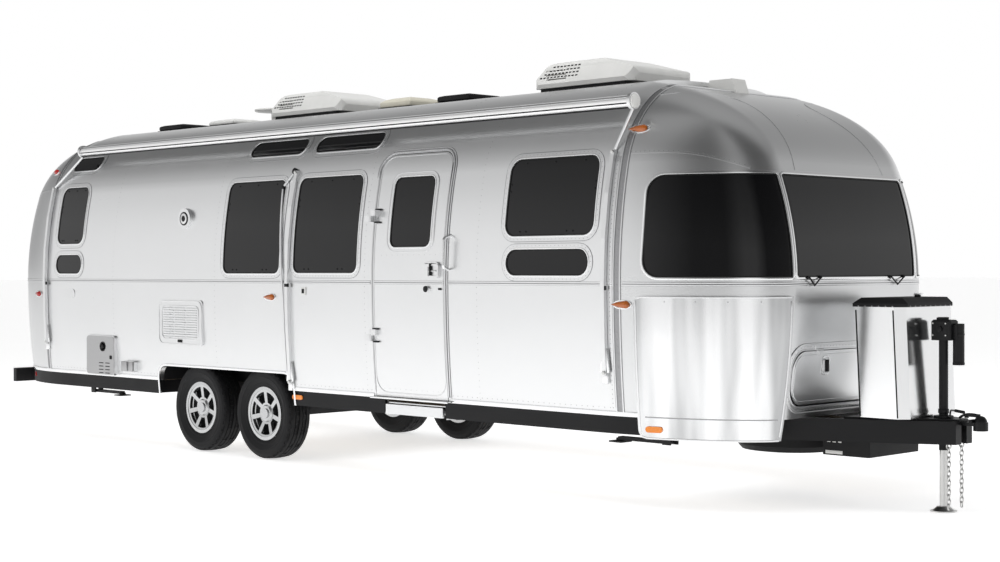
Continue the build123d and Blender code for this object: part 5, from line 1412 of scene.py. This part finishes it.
# %% Cover edges and brim
COVER_LOW_X, COVER_X, COVER_LENGTH, COVER_HALF, CHAMFER = 4.359, 4.325, 0.335, 0.325, 0.055
COVER_LOW, COVER_HIGH, BRIM_UP = 0.600, 1.296, 0.014


def cover_edge(dx, y, z):
    """A place on the cover at a height, dx ahead of its rear face."""
    share = (COVER_HIGH - z) / (COVER_HIGH - COVER_LOW)
    return Vector((COVER_X + (COVER_LOW_X - COVER_X) * share + dx, y, z))


def to_side(p):
    """The direction to the side that a place lies on."""
    return Vector((0.0, 1.0 if p.y > 0 else -1.0, 0.0))


edge_strips = []
for dx in (COVER_LENGTH - CHAMFER, 0.006):
    for y in (-COVER_HALF, COVER_HALF):
        line = [cover_edge(dx - 0.005, y, COVER_LOW + 0.004 + 0.034 * k) for k in range(21)]
        edge_strips.append(strip(line, 0.010, 0.002, facing=to_side))
fitting("cover_edge_strips", edge_strips, GASKET)
brim_low, brim_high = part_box("gas_lid")
brim_z = brim_low[2] + BRIM_UP
brim = [Vector((brim_high[0] - 0.0005, -0.240 + 0.060 * k, brim_z)) for k in range(9)]
rivets("brim_rivets", [brim], "gas_lid", size=1.4, facing=lambda p: Vector((1.0, 0.0, 0.0)))
side_brim = [Vector((COVER_X + 0.03 + 0.05 * k, side * brim_high[1], brim_z))
             for k in range(6) for side in (-1.0, 1.0)]
rivets("brim_side_rivets", [side_brim], "gas_lid", size=1.4, facing=to_side)

# %% [markdown]
# ## The jack
# The electric jack gets its screws, a button and a switch, two collars on the tube beside it and a
# ring at its foot. Its crank lies on the tongue: a bent rod with a black grip.

# %% Jack details
JACK_X, JACK_FACE, TUBE_AHEAD, TUBE_Y = 4.767, -0.0625, 0.096, 0.020
CRANK = ((4.830, -0.030, 0.606), (4.838, -0.040, 0.650), (4.870, -0.075, 0.655), (4.905, -0.085, 0.655))
GRIP = ((4.900, -0.085, 0.655), (4.975, -0.110, 0.650))
jack_screws = [Vector((JACK_X + dx, JACK_FACE, z)) for dx in (-0.040, 0.050) for z in (1.125, 1.200)]
rivets("jack_screws", [jack_screws], size=1.8, facing=lambda p: CURB_WAY, finish=ZINC)
jack_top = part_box("jack_body")[1][2]
jack_bits = [drum(0.018, 0.014, (JACK_X + 0.010, JACK_FACE - 0.0035, 1.165), CURB_WAY, 24, 0.003),
             block((0.026, 0.030, 0.020), (JACK_X - 0.030, 0.0, jack_top - 0.012), edge=0.004),
             drum(0.038, 0.020, (JACK_X + TUBE_AHEAD, TUBE_Y, 0.945), (0, 0, -1), 32, 0.006),
             drum(0.038, 0.016, (JACK_X + TUBE_AHEAD, TUBE_Y, 1.130), (0, 0, 1), 32, 0.005),
             drum(0.034, 0.030, (JACK_X, 0.0, 0.640), (0, 0, 1), 32, 0.004)]
fitting("jack_details", jack_bits, CHASSIS)
fitting("jack_crank", [rod(CRANK, 0.006)], ZINC)
fitting("crank_grip", [rod(GRIP, 0.010, smooth=False)], MOULDED)
print("jack pieces", len(jack_bits))

# %% [markdown]
# ## Coupler and battery box
# The coupler has a bent latch lever on its back, a pin through it and a bolt head. The battery box
# carries a bare white strip and three small marks over it.

# %% Coupler catch and battery strip
coupler_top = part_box("coupler")[1][2]
LEVER = ((5.000, 0.006), (4.960, 0.001), (4.905, 0.010), (4.880, 0.030))
catch = [rod([(x, 0.0, coupler_top - under) for x, under in LEVER], 0.008),
         drum(0.012, 0.104, (4.985, 0.0, 0.590), (0, 1, 0), 20, 0.002),
         drum(0.014, 0.012, (4.930, 0.0, 0.612), (0, 0, 1), 6, 0.001)]
fitting("coupler_catch", catch, CHASSIS)
box_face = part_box("battery_box")[0][1] - 0.001
marks = [block((0.130, 0.004, 0.022), (4.150, box_face, 0.356), edge=0.001)]
marks += [block((0.026, 0.004, 0.010), (4.110 + 0.042 * k, box_face, 0.425), edge=0.002) for k in range(3)]
fitting("battery_box_strip", marks, WHITE)
print("coupler top", coupler_top, "battery box face", box_face)

# %% [markdown]
# ## Safety chains
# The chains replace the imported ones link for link, with round wire instead of flat. A link is a
# ring pulled to its length. Each link hangs a quarter turn from the one above it and seated in it,
# with a slight twist, and the first hangs in an eye of the tongue.

# %% Chains
LINK_LENGTH, LINK_WIDTH, LINK_WIRE, LINK_COUNT = 0.046, 0.030, 0.0078, 13
LINK_BAR, LINK_PLAY = 0.008, 0.0003
LINK_PITCH = LINK_LENGTH - 2 * LINK_BAR - LINK_PLAY
EYE_Z, EYE_INNER, CHAIN_X, CHAIN_Y = 0.426, 0.011, 4.850, 0.078
FIRST_LINK = EYE_Z - sqrt(EYE_INNER ** 2 - (LINK_BAR / 2) ** 2) + LINK_PLAY + LINK_BAR - LINK_LENGTH / 2


def chain_link(length, width, wire):
    """One link: a ring of round wire, pulled to its length."""
    bpy.ops.object.select_all(action="DESELECT")
    bpy.ops.mesh.primitive_torus_add(major_segments=20, minor_segments=8,
                                     major_radius=(width - wire) / 2, minor_radius=wire / 2)
    made = bpy.context.object
    pull = (length - width) / 2
    bpy.ops.object.mode_set(mode="EDIT")
    bpy.ops.mesh.select_all(action="DESELECT")
    for way in (1.0, -1.0):
        bpy.ops.object.mode_set(mode="OBJECT")
        for vertex in made.data.vertices:
            vertex.select = vertex.co.x * way > 1e-5
        for edge in made.data.edges:
            edge.select = all(made.data.vertices[index].select for index in edge.vertices)
        for face in made.data.polygons:
            face.select = all(made.data.vertices[index].select for index in face.vertices)
        bpy.ops.object.mode_set(mode="EDIT")
        bpy.ops.transform.translate(value=(way * pull, 0.0, 0.0))
    bpy.ops.object.mode_set(mode="OBJECT")
    return made


def copy_of(source, matrix):
    """A copy with a mesh of its own, moved to its place."""
    copy = source.copy()
    copy.data = source.data.copy()
    bpy.context.scene.collection.objects.link(copy)
    copy.data.transform(matrix)
    return copy


pattern = chain_link(LINK_LENGTH, LINK_WIDTH, LINK_WIRE)
upright = Matrix.Rotation(radians(90), 4, "Y")
links = []
for side in (-1.0, 1.0):
    for k in range(LINK_COUNT):
        place = Matrix.Translation((CHAIN_X, side * CHAIN_Y, FIRST_LINK - LINK_PITCH * k))
        twist = Matrix.Rotation(radians(90 * (k % 2) + 4 * sin(k * 2.1)), 4, "Z")
        links.append(copy_of(pattern, place @ twist @ upright))
    bpy.ops.object.select_all(action="DESELECT")
    bpy.ops.mesh.primitive_torus_add(major_segments=28, minor_segments=10,
                                     major_radius=0.0155, minor_radius=0.0048,
                                     location=(CHAIN_X, side * CHAIN_Y, EYE_Z),
                                     rotation=(radians(90), 0.0, 0.0))
    links.append(bpy.context.object)
bpy.data.objects.remove(pattern)
chains = fitting("chain_links", links, ZINC)
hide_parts("safety_chains")
print("chain links", len(links))

# %% [markdown]
# ## The tyre
# A tyre is one outline turned round the axle: a rounded sidewall with two fine rings, and a tread
# with four grooves. The blocks come from every second face of the shoulder and of the ribs, inset
# and sunk. At last the two open rims are bridged, so that the tyre is closed.

# %% The tyre's shape
SIDEWALL = ((0.080, 0.2195), (0.086, 0.228), (0.090, 0.240), (0.0925, 0.244), (0.0935, 0.248),
            (0.0925, 0.252), (0.100, 0.270), (0.1065, 0.292), (0.1085, 0.294), (0.1095, 0.298),
            (0.1085, 0.302), (0.1105, 0.320), (0.1095, 0.334), (0.1080, 0.337), (0.1060, 0.341),
            (0.1020, 0.352), (0.0950, 0.361), (0.0860, 0.3665))
GROOVES, GROOVE_DEPTH = ((0.056, 0.049, 0.3695), (0.020, 0.013, 0.3715)), 0.009
SPIN_STEPS = 72


def tyre_outline():
    """Half an outline as (along the axle, radius), from bead to the middle of the tread."""
    tread = []
    for a, b, r in GROOVES:
        tread += [(a, r), (a - 0.001, r - GROOVE_DEPTH), (b + 0.001, r - GROOVE_DEPTH), (b, r)]
    return list(SIDEWALL) + tread


def spun_tyre():
    """The outline turned round the axle, with its blocks."""
    half = tyre_outline()
    line = half + [(-y, r) for y, r in reversed(half)]
    mesh = bpy.data.meshes.new("tyre")
    mesh.from_pydata([(0.0, y, r) for y, r in line], [(k, k + 1) for k in range(len(line) - 1)], [])
    made = bpy.data.objects.new("tyre", mesh)
    bpy.context.scene.collection.objects.link(made)
    alone(made)
    bpy.ops.object.mode_set(mode="EDIT")
    bpy.ops.mesh.select_all(action="SELECT")
    bpy.ops.mesh.spin(steps=SPIN_STEPS, angle=2 * pi, center=(0.0, 0.0, 0.0), axis=(0.0, 1.0, 0.0))
    bpy.ops.mesh.select_all(action="SELECT")
    bpy.ops.mesh.remove_doubles(threshold=1e-5)
    bpy.ops.mesh.select_all(action="SELECT")
    bpy.ops.mesh.normals_make_consistent(inside=False)
    bpy.ops.mesh.select_mode(type="FACE")
    bpy.ops.mesh.select_all(action="DESELECT")
    bpy.ops.object.mode_set(mode="OBJECT")
    for face in made.data.polygons:
        off_middle = abs(face.center.y)
        reach = hypot(face.center.x, face.center.z)
        turn = int(round((atan2(face.center.z, face.center.x) + pi) / (2 * pi) * SPIN_STEPS))
        on_shoulder = 0.0865 < off_middle < 0.103 and reach > 0.352
        on_rib = 0.021 < off_middle < 0.048 and reach > 0.366
        face.select = (on_shoulder and turn % 2 == 0) or (on_rib and turn % 2 == 1)
    bpy.ops.object.mode_set(mode="EDIT")
    bpy.ops.mesh.inset(thickness=0.0018, depth=-0.0045, use_individual=True)
    bpy.ops.object.mode_set(mode="OBJECT")
    return made


def close_inside(made):
    """Bridges the two open rims of a tyre."""
    alone(made)
    bpy.ops.object.mode_set(mode="EDIT")
    bpy.ops.mesh.select_mode(type="EDGE")
    bpy.ops.mesh.select_all(action="DESELECT")
    bpy.ops.mesh.select_non_manifold(extend=False)
    bpy.ops.mesh.bridge_edge_loops()
    bpy.ops.mesh.select_all(action="SELECT")
    bpy.ops.mesh.normals_make_consistent(inside=False)
    bpy.ops.object.mode_set(mode="OBJECT")


first_tyre = spun_tyre()
close_inside(first_tyre)
print("tyre faces", len(first_tyre.data.polygons))

# %% [markdown]
# ## Tyres and wheels
# The tyre is copied to each wheel, where it replaces the imported one. Each wheel also gets six nuts round
# a dished cap, and a dark plate behind its spokes that stands for the brake drum and paints the shade
# inside the wheel.

# %% The four wheels
AXLE_X = {"rear": -1.670, "front": -0.781}
WHEEL_Y, TYRE_RADIUS = 1.087, 0.372
NUT_CIRCLE, HUB_OUT, CAP_OUT, SHADE_OUT = 0.056, 0.052, 0.062, 0.028
for end, x in AXLE_X.items():
    for label, side in (("curb", -1.0), ("street", 1.0)):
        body, axle = f"wheel_{end}_{label}", (0.0, side, 0.0)
        made = copy_of(first_tyre, Matrix.Translation((x, side * WHEEL_Y, TYRE_RADIUS)))
        made.name = f"tread_{end}_{label}"
        settle(made, RUBBER, body, 28.0)
        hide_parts(f"tyre_{end}_{label}")
        nuts = []
        for k in range(6):
            dx, dz = NUT_CIRCLE * cos(radians(60 * k)), NUT_CIRCLE * sin(radians(60 * k))
            nut_place = (x + dx, side * (WHEEL_Y + HUB_OUT), TYRE_RADIUS + dz)
            nuts.append(drum(0.010, 0.020, nut_place, axle, 6, 0.002))
        cap_place = (x, side * (WHEEL_Y + CAP_OUT), TYRE_RADIUS)
        nuts.append(drum(0.034, 0.030, cap_place, axle, 36, 0.006, dish=0.003))
        fitting(f"wheel_cap_{end}_{label}", nuts, ALLOY, body)
        shade = drum(0.181, 0.003, (x, side * (WHEEL_Y + SHADE_OUT), TYRE_RADIUS), axle, 48, 0.0005)
        fitting(f"wheel_shade_{end}_{label}", [shade], CHASSIS, body)
bpy.data.objects.remove(first_tyre)
print("wheels dressed", 2 * len(AXLE_X))

# %% [markdown]
# ## Step, hinges and locks
# The step has six black grip bars. The door's two block hinges end in black caps, and beside its
# handle, in a raised frame, sit a round lock, a latch bar and a small stop.

# %% What the door and the step carry
step_low, step_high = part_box("entry_step")
STEP_X, GRIP_FIRST, GRIP_STEP = 1.120, 0.045, 0.030
grip_size = (step_high[0] - step_low[0] - 0.06, 0.010, 0.003)
grip_z = step_low[2] + 0.0535
grips = [block(grip_size, (STEP_X, step_low[1] + GRIP_FIRST + GRIP_STEP * k, grip_z), edge=0.001)
         for k in range(6)]
fitting("step_grips", grips, MOULDED, "step")
HINGE_X, HINGE_HEIGHTS, HINGE_END = 0.745, (1.056, 1.950), 0.048
hinge_caps = []
for z in HINGE_HEIGHTS:
    for dz in (-HINGE_END, HINGE_END):
        p = skin(HINGE_X, z + dz, -1.0)
        hinge_caps.append(block((0.060, 0.022, 0.012), p + outward(p) * 0.007, edge=0.003))
fitting("hinge_ends", hinge_caps, MOULDED, "entry_door")
locks = [drum(0.023, 0.008, (1.314, -1.3060, 1.406), CURB_WAY, 32, 0.002),
         block((0.012, 0.032, 0.088), (1.372, -1.3050, 1.548), edge=0.002),
         block((0.030, 0.010, 0.016), (1.452, -1.2930, 1.407), edge=0.003)]
fitting("door_locks", locks, MOULDED, "entry_door")
handle_frame = rounded(1.302, 1.442, 1.500, 1.598, 0.010, lambda u, v: Vector((u, -1.290, v)), 0.02)
trim("door_handle_frame", [handle_frame], SATIN, 0.010, 0.016, "entry_door", closed=True,
     facing=lambda p: CURB_WAY)

# %% [markdown]
# ## Floor and sky
# Polished metal shows its surroundings, so the studio does most of the work. A white floor and a
# bright horizon light the sides and the lower panels, and the ceiling darkens so that the roof and
# the dome turn grey. Round the horizon the light is broken on the nose's side: two dark stretches
# with a bright one between them draw the long bands on the corner, the stone guard and the glass.

# %% Studio
bpy.ops.object.select_all(action="DESELECT")
bpy.ops.mesh.primitive_plane_add(size=400.0, location=(0.0, 0.0, -0.002))
floor = bpy.context.object
floor.name = "studio_floor"
paper = Finish("studio_paper", Base_Color=(0.90, 0.90, 0.90), Roughness=0.7, Emission_Color=(1.0, 1.0, 1.0),
               Emission_Strength=0.64)
floor.data.materials.append(paper.material)

world = bpy.data.worlds.new("studio_world")
bpy.context.scene.world = world
world.use_nodes = True
sky = world.node_tree
UPWARD = ((0.0, 1.0), (0.17, 1.0), (0.36, 0.62), (0.62, 0.30), (1.0, 0.42))
AROUND = ((-180, 0.42), (-166, 0.42), (-153, 1.0), (-112, 1.0), (-84, 0.30), (-62, 0.30), (-46, 1.0),
          (-34, 1.0), (-20, 0.22), (22, 0.30), (44, 0.85), (75, 1.0), (153, 1.0), (166, 0.42))


def sky_node(kind, **inputs):
    """A node of the world, with its inputs set by name."""
    made = sky.nodes.new("ShaderNode" + kind)
    for name, value in inputs.items():
        feed(sky, made.inputs[name], value)
    return made


def sky_ramp(factor, stops):
    """Light levels along a factor from 0 to 1."""
    made = sky_node("ValToRGB", Fac=factor)
    for k, (place, level) in enumerate(stops):
        stop = made.color_ramp.elements[k] if k < 2 else made.color_ramp.elements.new(place)
        stop.position = place
        stop.color = (level, level, level, 1.0)
    return Link(sky, made.outputs[0])


split = sky_node("SeparateXYZ", Vector=Link(sky, sky_node("TexCoord").outputs["Generated"]))
east, north, height = (Link(sky, split.outputs[k]) for k in range(3))
round_sky = east._math("ARCTAN2", north, east) * (0.5 / pi) + 0.5
by_height = sky_ramp(height, UPWARD)
by_azimuth = sky_ramp(round_sky, [(degrees / 360.0 + 0.5, level) for degrees, level in AROUND])
sky.links.new((by_height * by_azimuth).socket, sky.nodes["Background"].inputs[0])
sky.nodes["Background"].inputs[1].default_value = 1.0
print("sky stops", len(UPWARD), "upward", len(AROUND), "around")

# %% [markdown]
# ## Three soft lights
# They stand above, ahead and on the curb side. They only fill the shade, so the metal does not
# mirror them.

# %% Lights
def softbox(name, place, aim, size, power):
    """A rectangular soft light at place, looking at aim."""
    light = bpy.data.lights.new(name, "AREA")
    light.shape = "RECTANGLE"
    light.size, light.size_y = size
    light.energy = power
    made = bpy.data.objects.new(name, light)
    bpy.context.scene.collection.objects.link(made)
    made.location = place
    made.rotation_euler = (Vector(aim) - Vector(place)).to_track_quat("-Z", "Y").to_euler()
    made.visible_glossy = False
    return made


softbox("light_top", (-0.5, -1.0, 9.0), (0.0, 0.0, 0.0), (12.0, 5.0), 420.0)
softbox("light_front", (12.0, 4.0, 6.0), (3.0, 0.0, 1.5), (4.0, 3.0), 160.0)
softbox("light_curb", (-2.0, -12.0, 7.0), (-1.0, 0.0, 1.2), (9.0, 3.0), 260.0)
print("lights", len(bpy.data.lights))

# %% [markdown]
# ## The camera
# The camera stands where the photographer stood. Its place, its three turns and its lens were
# solved from the photo and the caravan's known sizes.

# %% Camera
YAW, PITCH, ROLL = radians(45.05389), radians(-0.4555), radians(-0.1498)
EYE, FOCAL_LENGTH, FILM_WIDTH = (10.484, -9.694, 1.5617), 61.633, 36.0
level_ahead = Vector((-sin(YAW), cos(YAW), 0.0))
level_right = Vector((cos(YAW), sin(YAW), 0.0))
up = Vector((0.0, 0.0, 1.0))
ahead = level_ahead * cos(PITCH) + up * sin(PITCH)
above = up * cos(PITCH) - level_ahead * sin(PITCH)
right = level_right * cos(ROLL) + above * sin(ROLL)
above = above * cos(ROLL) - level_right * sin(ROLL)
camera = bpy.data.objects.new("camera", bpy.data.cameras.new("camera"))
bpy.context.scene.collection.objects.link(camera)
camera.matrix_world = Matrix((
    (right.x, above.x, -ahead.x, EYE[0]),
    (right.y, above.y, -ahead.y, EYE[1]),
    (right.z, above.z, -ahead.z, EYE[2]),
    (0.0, 0.0, 0.0, 1.0),
))
camera.data.lens = FOCAL_LENGTH
camera.data.sensor_width = FILM_WIDTH
bpy.context.scene.camera = camera
bpy.context.scene.view_settings.view_transform = "Standard"
print("camera at", camera.location[:])
